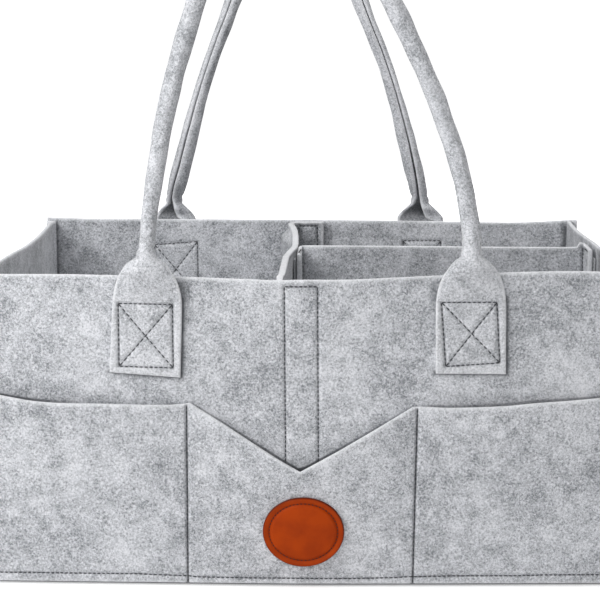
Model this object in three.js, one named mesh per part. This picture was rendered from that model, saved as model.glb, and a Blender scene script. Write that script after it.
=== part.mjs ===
// Felt storage bag: an open box of sewn felt with outside pockets, two rolled felt handles and two
// dividers that lift out. Millimetres, +Z up. The origin is the middle of the underside, +X is to the
// right and -Y is the front.
import * as THREE from "three";

// Overall sizes
const bagWidth = 380; // over the corner seams
const bagDepth = 250; // over the pocket felt, at the corners
const wallHeight = 190;
const felt = 3;
const seat = 0.3; // gap between pieces that lie on each other

// How far each wall bows out in its middle, at the floor and at the rim
const frontBow = { floor: 4, rim: 14 };
const backBow = { floor: 2, rim: 5 };
const leftBow = { floor: 1, rim: 4.5 };
const rightBow = { floor: 2, rim: 5 };

// Corner seams and the base
const seamMargin = 4.5; // how far the turned-out corner seams stand out beyond the side walls
const baseHem = 9; // height of the base's turned-up edge

// Pockets
const pocketHeight = 113;
const pocketCornerRise = 3;
const cornerRiseLength = 30;
const pocketSeamSpacing = 136; // between the two seams that part the front and the back into three pockets
const vCutWidth = 128;
const vCutDepth = 41;
const vCutShift = -1; // sideways, from the bag's middle
const mouth = { front: 8, centre: 7, back: 8, side: 10 }; // how far each pocket's mouth stands open

// Hook-and-loop tape
const tapeThickness = 1.4;
const loopWidth = 22;
const hookWidth = 18;
const loopTopDrop = 7; // below the rim
const hookTopDrop = 6; // below the divider's top edge
const tapeFloorGap = 16; // above the top of the base's hem

// Dividers
const dividerDrop = 3; // top edge below the rim
const flangeWidth = 24;
const longDividerY = 5.5;

// Handles: a felt strip, sewn flat at its ends and rolled to a tube between them
const frontHandle = { spacing: 190.5, shift: 4.5, height: 200, topRadius: 50, topShift: -15 };
const backHandle = { spacing: 177.4, shift: -10.4, height: 193, topRadius: 36, topShift: 1.6 };
frontHandle.legStart = { in: 0, up: 0.22 }; // what draws a leg's start: in from the neck, and up as a share
backHandle.legStart = { in: 3.7, up: 0.13 };
const tabWidth = 40.6;
const tabAbovePocket = 18;
const shoulderBelowRim = 14;
const neckAboveRim = 15;
const gripStripWidth = 26.6;
const gripCurl = THREE.MathUtils.degToRad(338); // how far round the strip's width is rolled
const legLean = THREE.MathUtils.degToRad(22);
const legTop = 0.35; // the straighter top of a leg, as a share of the height
const foldBevel = THREE.MathUtils.degToRad(12); // at each side of the line where a handle folds

// Leather badge, an ellipse on the front pocket
const badgeWidth = 49;
const badgeHeight = 44;
const badgeThickness = 2.2;
const badgeShift = 0.8;
const badgeDrop = 1.8; // below halfway between the floor and the tip of the V
const badgeEdge = 1.2; // width of its rounded edge

// Places that follow from the sizes, measured from the middle of the bag
const halfWidth = bagWidth / 2;
const bandInner = bagDepth / 2 - felt;
const panelOuter = bandInner - seat;
const panelInner = panelOuter - felt;
const sideOuter = halfWidth - seamMargin;
const sideInner = sideOuter - felt;
const seamInner = panelInner - seat - felt; // inside face of the side walls' turned-out edges
const baseTop = felt;
const hemStack = felt + 2 * seat;
const tapeStack = 2 * tapeThickness + 3 * seat;
const wallToFlange = Math.max(hemStack, tapeStack);
const dividerTop = wallHeight - dividerDrop;
const dividerBottom = baseTop + seat;
const centreDividerX = -(hookWidth / 2 + felt);
const crossTapeY = longDividerY - (hookWidth / 2 + felt);
const vTip = pocketHeight - vCutDepth;

const feltMaterial = new THREE.MeshStandardMaterial({ color: 0xc3c4c8, roughness: 0.95, metalness: 0 });
const pocketMaterial = new THREE.MeshStandardMaterial({ color: 0xcbccd0, roughness: 0.95, metalness: 0 });
const loopMaterial = new THREE.MeshStandardMaterial({ color: 0xb4b6ba, roughness: 0.9, metalness: 0 });
const hookMaterial = new THREE.MeshStandardMaterial({ color: 0xa9abaf, roughness: 0.6, metalness: 0 });
const leatherMaterial = new THREE.MeshStandardMaterial({ color: 0xad4a18, roughness: 0.5, metalness: 0 });

const group = new THREE.Group();

// Evenly spaced numbers from one end to the other
function steps(from, to, count) {
  return Array.from({ length: count + 1 }, (_, k) => from + ((to - from) * k) / count);
}

// The walls. "point" turns a place along the wall, a distance out from the bag's middle and a height
// into a point in space.
const walls = {
  front: { bow: frontBow, halfSpan: halfWidth, point: (along, out, z) => new THREE.Vector3(along, -out, z) },
  back: { bow: backBow, halfSpan: halfWidth, point: (along, out, z) => new THREE.Vector3(along, out, z) },
  left: { bow: leftBow, halfSpan: seamInner, point: (along, out, z) => new THREE.Vector3(-out, along, z) },
  right: { bow: rightBow, halfSpan: seamInner, point: (along, out, z) => new THREE.Vector3(out, along, z) },
};

// How far a wall stands out of its flat plane
function bowAt(wall, along, z) {
  const most = THREE.MathUtils.lerp(wall.bow.floor, wall.bow.rim, z / wallHeight);
  const fromMiddle = Math.min(Math.abs(along) / wall.halfSpan, 1);
  return most * (1 - fromMiddle ** 2);
}

// A closed solid from points and triangles, with its faces turned outwards
function solidGeometry(points, faces) {
  let volume = 0;
  for (let k = 0; k < faces.length; k += 3) {
    const [a, b, c] = [points[faces[k]], points[faces[k + 1]], points[faces[k + 2]]];
    volume += a.dot(b.clone().cross(c));
  }
  const geometry = new THREE.BufferGeometry().setFromPoints(points);
  geometry.setIndex(volume < 0 ? faces.toReversed() : faces);
  geometry.computeVertexNormals();
  return geometry;
}

// A sheet with thickness. Each row holds pairs of points, one on each face of the sheet.
function sheetGeometry(rows) {
  const across = rows[0].length;
  const lastRow = rows.length - 1;
  const lastColumn = across - 1;
  const at = (row, column, face) => 2 * (row * across + column) + face;
  const faces = [];
  const quad = (a, b, c, d) => faces.push(a, b, c, a, c, d);
  for (let i = 0; i < lastRow; i++) {
    for (let j = 0; j < lastColumn; j++) {
      quad(at(i, j, 0), at(i, j + 1, 0), at(i + 1, j + 1, 0), at(i + 1, j, 0));
      quad(at(i, j, 1), at(i + 1, j, 1), at(i + 1, j + 1, 1), at(i, j + 1, 1));
    }
    quad(at(i, 0, 0), at(i + 1, 0, 0), at(i + 1, 0, 1), at(i, 0, 1));
    quad(at(i, lastColumn, 0), at(i, lastColumn, 1), at(i + 1, lastColumn, 1), at(i + 1, lastColumn, 0));
  }
  for (let j = 0; j < lastColumn; j++) {
    quad(at(0, j, 0), at(0, j, 1), at(0, j + 1, 1), at(0, j + 1, 0));
    quad(at(lastRow, j, 0), at(lastRow, j + 1, 0), at(lastRow, j + 1, 1), at(lastRow, j, 1));
  }
  return solidGeometry(rows.flat(2), faces);
}

// A solid skinned over closed rings of points, with a middle point that closes it at each end
function ringGeometry(startMiddle, rings, endMiddle) {
  const count = rings[0].length;
  const points = [startMiddle, ...rings.flat(), endMiddle];
  const at = (ring, k) => 1 + ring * count + (k % count);
  const faces = [];
  for (let k = 0; k < count; k++) {
    faces.push(0, at(0, k + 1), at(0, k));
    for (let ring = 0; ring + 1 < rings.length; ring++) {
      faces.push(at(ring, k), at(ring, k + 1), at(ring + 1, k + 1));
      faces.push(at(ring, k), at(ring + 1, k + 1), at(ring + 1, k));
    }
    faces.push(points.length - 1, at(rings.length - 1, k), at(rings.length - 1, k + 1));
  }
  return solidGeometry(points, faces);
}

function addPiece(name, geometry, material) {
  const mesh = new THREE.Mesh(geometry, material);
  mesh.name = name;
  group.add(mesh);
}

// A sheet that lies along a wall: "inner" is how far its inside face is from the bag's middle before
// the bow, and "stand" adds what it stands off the wall at each place.
function wallSheet(wall, stations, { inner, thickness, bottom, top, levels = [0, 1], stand = () => 0 }) {
  const rows = stations.map((along) =>
    levels.map((level) => {
      const z = THREE.MathUtils.lerp(bottom, top(along), level);
      const out = inner + bowAt(wall, along, z) + stand(along, z);
      return [wall.point(along, out + thickness, z), wall.point(along, out, z)];
    }),
  );
  return sheetGeometry(rows);
}

// Point pairs of a bent sheet that stands upright, from the middle line it follows in plan
function bentRow(path, thickness, z) {
  const directions = path.slice(1).map((point, k) => point.clone().sub(path[k]).normalize());
  return path.map((point, k) => {
    const before = directions[Math.max(k - 1, 0)];
    const after = directions[Math.min(k, directions.length - 1)];
    const along = before.clone().add(after).normalize();
    const mitre = thickness / 2 / along.dot(after);
    const offset = new THREE.Vector2(-along.y, along.x).multiplyScalar(mitre);
    const faceA = point.clone().add(offset);
    const faceB = point.clone().sub(offset);
    return [new THREE.Vector3(faceA.x, faceA.y, z), new THREE.Vector3(faceB.x, faceB.y, z)];
  });
}

function addFrontAndBackWalls() {
  const stations = steps(-halfWidth, halfWidth, 18);
  const sheet = { inner: panelInner, thickness: felt, bottom: 0, top: () => wallHeight };
  addPiece("front_panel", wallSheet(walls.front, stations, sheet), feltMaterial);
  addPiece("back_panel", wallSheet(walls.back, stations, sheet), feltMaterial);
}

// A side wall turns out at both ends, where it is sewn to the front and back walls
function addSideWall(name, wall) {
  const seamLine = seamInner + felt / 2;
  const path = (z) => {
    const turned = (along) => wall.point(along, halfWidth, z);
    const main = steps(-seamLine, seamLine, 14).map((along) =>
      wall.point(along, sideInner + felt / 2 + bowAt(wall, along, z), z),
    );
    return [turned(-seamLine), ...main, turned(seamLine)].map((p) => new THREE.Vector2(p.x, p.y));
  };
  const rows = [0, wallHeight].map((z) => bentRow(path(z), felt, z));
  addPiece(name, sheetGeometry(rows), feltMaterial);
}

// The base lies inside the walls, with its edge turned up all round
function addBase() {
  const frontBack = panelInner - seat;
  const sides = sideInner - seat;
  const ring = (inset, z) => {
    const across = steps(-1, 1, 12).slice(0, -1);
    const x = sides - inset;
    const y = frontBack - inset;
    const front = across.map((u) => walls.front.point(u * x, y + bowAt(walls.front, u * x, z), z));
    const right = across.map((u) => walls.right.point(u * y, x + bowAt(walls.right, u * y, z), z));
    const back = across.map((u) => walls.back.point(-u * x, y + bowAt(walls.back, u * x, z), z));
    const left = across.map((u) => walls.left.point(-u * y, x + bowAt(walls.left, u * y, z), z));
    return [...front, ...right, ...back, ...left];
  };
  const rings = [ring(0, 0), ring(0, baseHem), ring(felt, baseHem), ring(felt, baseTop)];
  const middle = (z) => new THREE.Vector3(0, 0, z);
  addPiece("base_panel", ringGeometry(middle(0), rings, middle(baseTop)), feltMaterial);
}

// How far a pocket stands off its wall: nothing at its seams and at the floor, most at its mouth
function pocketStand(seams, openings, top) {
  return (along, z) => {
    const pocket = seams.findIndex((seam, k) => k > 0 && along <= seam) - 1;
    if (pocket < 0) return 0;
    const middle = (seams[pocket] + seams[pocket + 1]) / 2;
    const half = (seams[pocket + 1] - seams[pocket]) / 2;
    const acrossShare = Math.min(Math.abs(along - middle) / half, 1);
    const heightShare = z / top(along);
    return openings[pocket] * (1 - acrossShare ** 2) * heightShare ** 2;
  };
}

const pocketSeam = pocketSeamSpacing / 2;
const pocketSeams = [-halfWidth, -pocketSeam, pocketSeam, halfWidth];
const pocketLevels = [0, 0.35, 0.6, 0.8, 1];

// Height of the pockets' edge: it rises towards the corners of the bag
function plainPocketTop(along) {
  const toCorner = Math.max(Math.abs(along) - (halfWidth - cornerRiseLength), 0) / cornerRiseLength;
  return pocketHeight + pocketCornerRise * toCorner ** 2;
}

// The front pocket's edge has a V cut in its middle
function frontPocketTop(along) {
  const fromTip = Math.abs(along - vCutShift) / (vCutWidth / 2);
  return plainPocketTop(along) - vCutDepth * Math.max(1 - fromTip, 0);
}

const frontStand = pocketStand(pocketSeams, [mouth.front, mouth.centre, mouth.front], frontPocketTop);

function addPocketBands() {
  const vStart = vCutShift - vCutWidth / 2;
  const vEnd = vCutShift + vCutWidth / 2;
  const frontStations = [
    ...steps(-halfWidth, -pocketSeam, 6),
    ...steps(vStart, vCutShift, 5),
    ...steps(vCutShift, vEnd, 5).slice(1),
    ...steps(pocketSeam, halfWidth, 6),
  ];
  const band = { inner: bandInner, thickness: felt, bottom: 0, levels: pocketLevels };
  const front = { ...band, top: frontPocketTop, stand: frontStand };
  addPiece("front_pocket_band", wallSheet(walls.front, frontStations, front), pocketMaterial);

  const backStations = [
    ...steps(-halfWidth, -pocketSeam, 6),
    ...steps(-pocketSeam, pocketSeam, 6).slice(1),
    ...steps(pocketSeam, halfWidth, 6).slice(1),
  ];
  const backStand = pocketStand(pocketSeams, [mouth.back, mouth.back, mouth.back], plainPocketTop);
  const back = { ...band, top: plainPocketTop, stand: backStand };
  addPiece("back_pocket_band", wallSheet(walls.back, backStations, back), pocketMaterial);

  const sideEnd = seamInner - seat;
  const sideTop = () => pocketHeight;
  const side = {
    ...band,
    inner: sideOuter + seat,
    top: sideTop,
    stand: pocketStand([-sideEnd, sideEnd], [mouth.side], sideTop),
  };
  addPiece("left_pocket_band", wallSheet(walls.left, steps(-sideEnd, sideEnd, 10), side), pocketMaterial);
  addPiece("right_pocket_band", wallSheet(walls.right, steps(-sideEnd, sideEnd, 10), side), pocketMaterial);
}

// A length of tape that lies along a wall's inside, "depth" in from the wall's inside face
function tapeOnWall(wall, wallInner, middle, width, depth, bottom, top) {
  return wallSheet(wall, steps(middle - width / 2, middle + width / 2, 2), {
    inner: wallInner - depth - tapeThickness,
    thickness: tapeThickness,
    bottom,
    top: () => top,
  });
}

const loopTop = wallHeight - loopTopDrop;
const hookTop = dividerTop - hookTopDrop;
const tapeBottom = baseHem + tapeFloorGap;

function addLoopTapes() {
  const loop = (wall, wallInner, middle) =>
    tapeOnWall(wall, wallInner, middle, loopWidth, seat, tapeBottom, loopTop);
  addPiece("front_loop_tape", loop(walls.front, panelInner, 0), loopMaterial);
  addPiece("back_loop_tape", loop(walls.back, panelInner, 0), loopMaterial);
  addPiece("right_loop_tape", loop(walls.right, sideInner, crossTapeY), loopMaterial);
}

// A flat upright tape that faces along X
function crossTape(xFrom, width, top) {
  const box = new THREE.BoxGeometry(tapeThickness, width, top - tapeBottom);
  return box.translate(xFrom + tapeThickness / 2, crossTapeY, (top + tapeBottom) / 2);
}

// The centre divider runs from the front wall to the back wall and turns to the right at both ends
function addCentreDivider() {
  const flangeMiddle = panelInner - wallToFlange - felt / 2;
  const flangeTip = centreDividerX - felt / 2 + flangeWidth;
  const path = (z) => {
    const flange = (wall) =>
      steps(flangeTip, centreDividerX, 2).map((x) => wall.point(x, flangeMiddle + bowAt(wall, x, z), z));
    return [...flange(walls.front), ...flange(walls.back).reverse()].map((p) => new THREE.Vector2(p.x, p.y));
  };
  const rows = [dividerBottom, dividerTop].map((z) => bentRow(path(z), felt, z));
  addPiece("centre_divider", sheetGeometry(rows), feltMaterial);

  const hookDepth = wallToFlange - seat - tapeThickness;
  const hook = (wall) => tapeOnWall(wall, panelInner, 0, hookWidth, hookDepth, tapeBottom, hookTop);
  addPiece("centre_divider_hook_front", hook(walls.front), hookMaterial);
  addPiece("centre_divider_hook_back", hook(walls.back), hookMaterial);
  const loopX = centreDividerX + felt / 2 + seat;
  addPiece("centre_divider_loop_tape", crossTape(loopX, loopWidth, hookTop), loopMaterial);
}

// The long divider runs from the centre divider to the right wall and turns to the front at both ends
function addLongDivider() {
  const leftFlange = centreDividerX + felt / 2 + tapeStack + felt / 2;
  const rightFlange = sideInner - wallToFlange - felt / 2;
  const flangeTip = longDividerY + felt / 2 - flangeWidth;
  const path = (z) => {
    const right = steps(longDividerY, flangeTip, 2).map((y) =>
      walls.right.point(y, rightFlange + bowAt(walls.right, y, z), z),
    );
    return [
      new THREE.Vector2(leftFlange, flangeTip),
      new THREE.Vector2(leftFlange, longDividerY),
      ...right.map((p) => new THREE.Vector2(p.x, p.y)),
    ];
  };
  const rows = [dividerBottom, dividerTop].map((z) => bentRow(path(z), felt, z));
  addPiece("long_divider", sheetGeometry(rows), feltMaterial);

  const leftHookX = centreDividerX + felt / 2 + tapeThickness + 2 * seat;
  addPiece("long_divider_hook_left", crossTape(leftHookX, hookWidth, hookTop), hookMaterial);
  const hookDepth = wallToFlange - seat - tapeThickness;
  const rightHook = tapeOnWall(walls.right, sideInner, crossTapeY, hookWidth, hookDepth, tapeBottom, hookTop);
  addPiece("long_divider_hook_right", rightHook, hookMaterial);
}

// Section of the handle's strip: places across its width, rolled through an angle about the side that
// faces into the bag. Each pair gives the outer and the inner face as [sideways, inward].
function stripSection(width, curl, count) {
  return steps(-0.5, 0.5, count).map((share) => {
    if (curl < 0.01) {
      const flat = share * width;
      return [[flat, -felt / 2], [flat, felt / 2]];
    }
    const radius = width / curl;
    const angle = share * curl;
    const at = (r) => [r * Math.sin(angle), radius - r * Math.cos(angle)];
    return [at(radius + felt / 2), at(radius - felt / 2)];
  });
}

const neckZ = wallHeight + neckAboveRim;
const stripSteps = 10; // facets across the strip
const gripSteps = 30; // facets along a grip
const legShare = 0.75; // of the way from the neck to the middle of the top, before the round part
const handleEnds = (handle) => [handle.shift - handle.spacing / 2, handle.shift + handle.spacing / 2];

// How far out the handle's middle line lies at its neck, where it folds
function neckOut(handle, wall) {
  const reach = handleEnds(handle).map((x) => bowAt(wall, x, neckZ));
  return panelOuter + seat + felt / 2 + Math.max(...reach);
}

// A handle's end: flat on the wall, then narrower and rolled up above the rim
function addHandleTab(name, handle, wall, x) {
  const bottom = pocketHeight + tabAbovePocket;
  const shoulder = wallHeight - shoulderBelowRim;
  const top = neckZ - seat / 2;
  const levels = [bottom, shoulder, ...steps(shoulder, wallHeight, 3).slice(1), ...steps(wallHeight, top, 6).slice(1)];
  const rows = levels.map((z) => {
    const narrowing = THREE.MathUtils.smoothstep(z, shoulder, neckZ);
    const width = THREE.MathUtils.lerp(tabWidth, gripStripWidth, narrowing);
    const aboveRim = Math.max((z - wallHeight) / (top - wallHeight), 0);
    const section = stripSection(width, gripCurl * aboveRim, stripSteps);
    return section.map((pair) =>
      pair.map(([sideways, inward]) => {
        const onWall = panelOuter + seat + felt / 2 + bowAt(wall, x + sideways * (1 - aboveRim), z);
        const out = THREE.MathUtils.lerp(onWall, neckOut(handle, wall), aboveRim) - inward;
        const bevel = aboveRim ** 4 * (inward + felt / 2) * Math.tan(foldBevel);
        return wall.point(x + sideways, out, z - bevel);
      }),
    );
  });
  addPiece(name, sheetGeometry(rows), feltMaterial);
}

// Middle line of a grip: two legs that lean together and a round top, from neck to neck
class ArchCurve extends THREE.Curve {
  constructor(handle, wall) {
    super();
    this.handle = handle;
    this.wall = wall;
    this.out = neckOut(handle, wall);
    const { spacing, height, topRadius, legStart } = handle;
    const legEnd = new THREE.Vector2(
      topRadius * Math.cos(legLean),
      height - topRadius * (1 - Math.sin(legLean)),
    );
    const down = new THREE.Vector2(Math.sin(legLean), -Math.cos(legLean));
    this.leg = new THREE.CubicBezierCurve(
      new THREE.Vector2(spacing / 2, 0),
      new THREE.Vector2(spacing / 2 - legStart.in, height * legStart.up),
      legEnd.clone().addScaledVector(down, height * legTop),
      legEnd,
    );
  }

  getPoint(t, target = new THREE.Vector3()) {
    const { shift, height, topRadius, topShift } = this.handle;
    const side = t < 0.5 ? -1 : 1;
    const climb = 1 - Math.abs(1 - 2 * t);
    const place = new THREE.Vector2();
    if (climb < legShare) {
      this.leg.getPoint(climb / legShare, place);
    } else {
      const turn = (climb - legShare) / (1 - legShare);
      const angle = THREE.MathUtils.lerp(legLean, Math.PI / 2, turn);
      place.set(topRadius * Math.cos(angle), height - topRadius * (1 - Math.sin(angle)));
    }
    const x = shift + side * place.x + topShift * (place.y / height) ** 2;
    return target.copy(this.wall.point(x, this.out, neckZ + seat / 2 + place.y));
  }
}

// A handle's grip: the strip rolled to a tube, with its slit towards the inside of the bag
function addGrip(name, handle, wall) {
  const curve = new ArchCurve(handle, wall);
  const section = stripSection(gripStripWidth, gripCurl, stripSteps);
  const inwardDirection = wall.point(0, -1, 0);
  const rows = steps(0, 1, gripSteps).map((u, k) => {
    const middle = curve.getPointAt(u);
    const tangent = k === 0 ? new THREE.Vector3(0, 0, 1) : curve.getTangentAt(u);
    if (k === gripSteps) tangent.set(0, 0, -1);
    const sidewaysDirection = new THREE.Vector3(0, -1, 0).cross(tangent).negate();
    return section.map((pair) =>
      pair.map(([sideways, inward]) => {
        const point = middle.clone();
        point.addScaledVector(sidewaysDirection, sideways);
        point.addScaledVector(inwardDirection, inward);
        if (k === 0 || k === gripSteps) point.z += (inward + felt / 2) * Math.tan(foldBevel);
        return point;
      }),
    );
  });
  addPiece(name, sheetGeometry(rows), feltMaterial);
}

function addHandle(name, handle, wall) {
  const [leftX, rightX] = handleEnds(handle);
  addHandleTab(name + "_tab_left", handle, wall, leftX);
  addHandleTab(name + "_tab_right", handle, wall, rightX);
  addGrip(name + "_grip", handle, wall);
}

const badgeRings = [0.4, 0.7]; // rings of its face inside the rim, as shares of its size

// The badge lies on the front pocket and follows its surface
function addBadge() {
  const middleZ = vTip / 2 - badgeDrop;
  const ring = (scale, lift) =>
    steps(0, 2 * Math.PI, 32).slice(1).map((angle) => {
      const x = badgeShift + ((scale * badgeWidth) / 2) * Math.cos(angle);
      return onPocket(x, middleZ + ((scale * badgeHeight) / 2) * Math.sin(angle), lift);
    });
  const onPocket = (x, z, lift) => {
    const out = bandInner + felt + seat + bowAt(walls.front, x, z) + frontStand(x, z) + lift;
    return walls.front.point(x, out, z);
  };
  const edge = 1 - (2 * badgeEdge) / badgeHeight;
  const rings = [
    ...badgeRings.map((scale) => ring(scale, 0)),
    ring(1, 0),
    ring(1, badgeThickness - badgeEdge),
    ring(edge, badgeThickness),
    ...badgeRings.toReversed().map((scale) => ring(scale, badgeThickness)),
  ];
  const geometry = ringGeometry(
    onPocket(badgeShift, middleZ, 0),
    rings,
    onPocket(badgeShift, middleZ, badgeThickness),
  );
  addPiece("badge", geometry, leatherMaterial);
}

addFrontAndBackWalls();
addSideWall("left_panel", walls.left);
addSideWall("right_panel", walls.right);
addBase();
addPocketBands();
addLoopTapes();
addCentreDivider();
addLongDivider();
addHandle("front_handle", frontHandle, walls.front);
addHandle("back_handle", backHandle, walls.back);
addBadge();

export default group;
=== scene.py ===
"""Felt storage bag: its sewn felt, tape, leather badge, finishes, light and camera.

Sizes are in millimetres until a mesh is made. The origin is the middle of the bag's underside, +X is
to the right, -Y is the front and +Z is up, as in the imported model.
"""

import logging
import math
from collections.abc import Callable, Iterable, Sequence
from dataclasses import dataclass, field
from enum import Enum

import bmesh
import bpy
from mathutils import Matrix, Vector, noise


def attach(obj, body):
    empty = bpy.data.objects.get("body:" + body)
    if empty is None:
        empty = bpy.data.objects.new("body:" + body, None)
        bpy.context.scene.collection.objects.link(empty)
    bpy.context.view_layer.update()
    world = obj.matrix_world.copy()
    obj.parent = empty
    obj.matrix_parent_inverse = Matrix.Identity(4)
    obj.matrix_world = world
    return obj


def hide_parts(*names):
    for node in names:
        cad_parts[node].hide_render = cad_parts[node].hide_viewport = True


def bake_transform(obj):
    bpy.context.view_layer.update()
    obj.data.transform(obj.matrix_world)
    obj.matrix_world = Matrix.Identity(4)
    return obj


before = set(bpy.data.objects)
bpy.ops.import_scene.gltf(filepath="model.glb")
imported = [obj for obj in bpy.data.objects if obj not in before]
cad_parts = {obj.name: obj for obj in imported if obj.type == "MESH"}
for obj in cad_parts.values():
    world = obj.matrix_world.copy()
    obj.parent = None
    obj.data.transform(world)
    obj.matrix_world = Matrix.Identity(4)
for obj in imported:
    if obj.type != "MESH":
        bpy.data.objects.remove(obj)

logging.basicConfig(level=logging.INFO, format="%(message)s")
log = logging.getLogger("felt_bag")

MM = 0.001
Knots = Sequence[tuple[float, float]]
Spot = tuple[float, float]


def clamp(value: float, low: float = 0.0, high: float = 1.0) -> float:
    """Keeps a value between two limits."""
    return max(low, min(high, value))


def blend_between(start: float, end: float, share: float) -> float:
    """Straight mix of two values."""
    return start + (end - start) * share


def ease(low: float, high: float, value: float) -> float:
    """Smooth step from 0 at low to 1 at high."""
    share = clamp((value - low) / (high - low))
    return share * share * (3.0 - 2.0 * share)


def polyline(knots: Knots, value: float) -> float:
    """Reads a curve of straight stretches.

    Args:
        knots: Places and heights, in order of place.
        value: Where to read.

    Returns:
        The height there, level beyond the ends.
    """
    if value <= knots[0][0]:
        return knots[0][1]
    for (x0, y0), (x1, y1) in zip(knots, knots[1:]):
        if value <= x1:
            return blend_between(y0, y1, (value - x0) / (x1 - x0))
    return knots[-1][1]


def smooth_curve(knots: Knots, value: float) -> float:
    """Reads a curve that runs smoothly through its knots.

    Args:
        knots: Places and heights, in order of place.
        value: Where to read.

    Returns:
        The height there, level beyond the ends.
    """
    last = len(knots) - 1
    value = clamp(value, knots[0][0], knots[last][0])
    k = next((i for i in range(last) if value <= knots[i + 1][0]), last - 1)
    slopes = []
    for i in (k, k + 1):
        before, after = knots[max(i - 1, 0)], knots[min(i + 1, last)]
        slopes.append((after[1] - before[1]) / (after[0] - before[0]))
    (x0, y0), (x1, y1) = knots[k], knots[k + 1]
    span = x1 - x0
    t = (value - x0) / span
    return (
        y0 * (2 * t**3 - 3 * t**2 + 1)
        + slopes[0] * span * (t**3 - 2 * t**2 + t)
        + y1 * (3 * t**2 - 2 * t**3)
        + slopes[1] * span * (t**3 - t**2)
    )


def distance_to_path(path: Sequence[Spot], x: float, y: float) -> float:
    """Distance from a spot to a path, all in one plane.

    Args:
        path: The path's corners, joined by straight stretches.
        x: The spot's first place.
        y: Its second place.

    Returns:
        The distance to the nearest stretch.
    """
    nearest = math.inf
    for (ax, ay), (bx, by) in zip(path, path[1:]):
        dx, dy = bx - ax, by - ay
        share = clamp(((x - ax) * dx + (y - ay) * dy) / (dx * dx + dy * dy))
        nearest = min(nearest, math.hypot(x - ax - share * dx, y - ay - share * dy))
    return nearest


def bezier(bends: Sequence[Vector], count: int) -> list[Vector]:
    """A curve from the first of four points to the last, drawn towards the two between them.

    Args:
        bends: The four points.
        count: Number of steps.

    Returns:
        The points on the curve.
    """
    points = []
    for k in range(count + 1):
        t = k / count
        weights = ((1 - t) ** 3, 3 * (1 - t) ** 2 * t, 3 * (1 - t) * t * t, t**3)
        points.append(sum((bend * weight for bend, weight in zip(bends, weights)), bends[0] * 0))
    return points


@dataclass(frozen=True)
class BagSizes:
    """The bag's sizes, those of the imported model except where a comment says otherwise."""

    width: float = 380.0
    depth: float = 250.0
    wall_height: float = 190.0
    felt: float = 3.0
    seat: float = 0.3
    seam_margin: float = 4.5
    pocket_height: float = 113.0
    pocket_seam: float = 68.0
    tape: float = 1.4
    loop_width: float = 22.0
    hook_width: float = 18.0
    divider_top: float = 188.0  # 1 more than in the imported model, where the worn edges don't lie lower
    divider_bottom: float = 3.3
    flange_width: float = 24.0
    long_divider_y: float = 5.5
    tape_bottom: float = 25.0
    tape_top: float = 182.5

    @property
    def band_inner(self) -> float:
        """Inside face of the front and back pocket bands."""
        return self.depth / 2 - self.felt

    @property
    def panel_inner(self) -> float:
        """Inside face of the front and back panels."""
        return self.band_inner - self.seat - self.felt

    @property
    def side_inner(self) -> float:
        """Inside face of the left and right panels."""
        return self.width / 2 - self.seam_margin - self.felt

    @property
    def seam_inner(self) -> float:
        """Inside face of the side panels' turned-out edges."""
        return self.panel_inner - self.seat - self.felt

    @property
    def tape_stack(self) -> float:
        """Room that a loop tape and a hook tape take between two felts."""
        return 2 * self.tape + 3 * self.seat

    @property
    def centre_divider_x(self) -> float:
        """Middle line of the centre divider."""
        return -(self.hook_width / 2 + self.felt)

    @property
    def cross_tape_y(self) -> float:
        """Middle line of the tapes at both ends of the long divider."""
        return self.long_divider_y - (self.hook_width / 2 + self.felt)


SIZES = BagSizes()
HALF_WIDTH = SIZES.width / 2
POCKET_SEAMS = (-HALF_WIDTH, -SIZES.pocket_seam, SIZES.pocket_seam, HALF_WIDTH)
SIDE_POCKET = SIZES.seam_inner - SIZES.seat  # half the length of a side pocket
CORNER_STITCH = 186.3  # where the corner seams' thread runs, from the bag's middle
CORNER_STRETCH = 1.5  # from the rim, or a pocket's edge, to the end of that thread
BASE_STITCH = 5.6  # height of the thread that holds the base
TAPE_STITCH = 9.8  # from a wall tape's middle line to the thread that holds it
FLANGE_STITCH_TOP = 186.2  # height of the thread on the dividers' turned ends
SLANT_TOP = 172.0  # height over which a handle's slanted foot isn't felt
SPLAY_TOP = 175.0  # height from which a handle's end splays
TAB_TOP = 178.0  # height over which a handle's strip is no longer sewn down
STITCH_ARC = ((0.0, -0.3), (0.25, 0.12), (0.5, 0.2), (0.75, 0.12), (1.0, -0.3))  # a stitch's lift over the felt


class Side(Enum):
    """The four walls, each with the direction that it faces."""

    FRONT = (0, -1)
    BACK = (0, 1)
    LEFT = (-1, 0)
    RIGHT = (1, 0)


class Face(Enum):
    """The two faces of a sheet."""

    OUTER = 1
    INNER = -1


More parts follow.
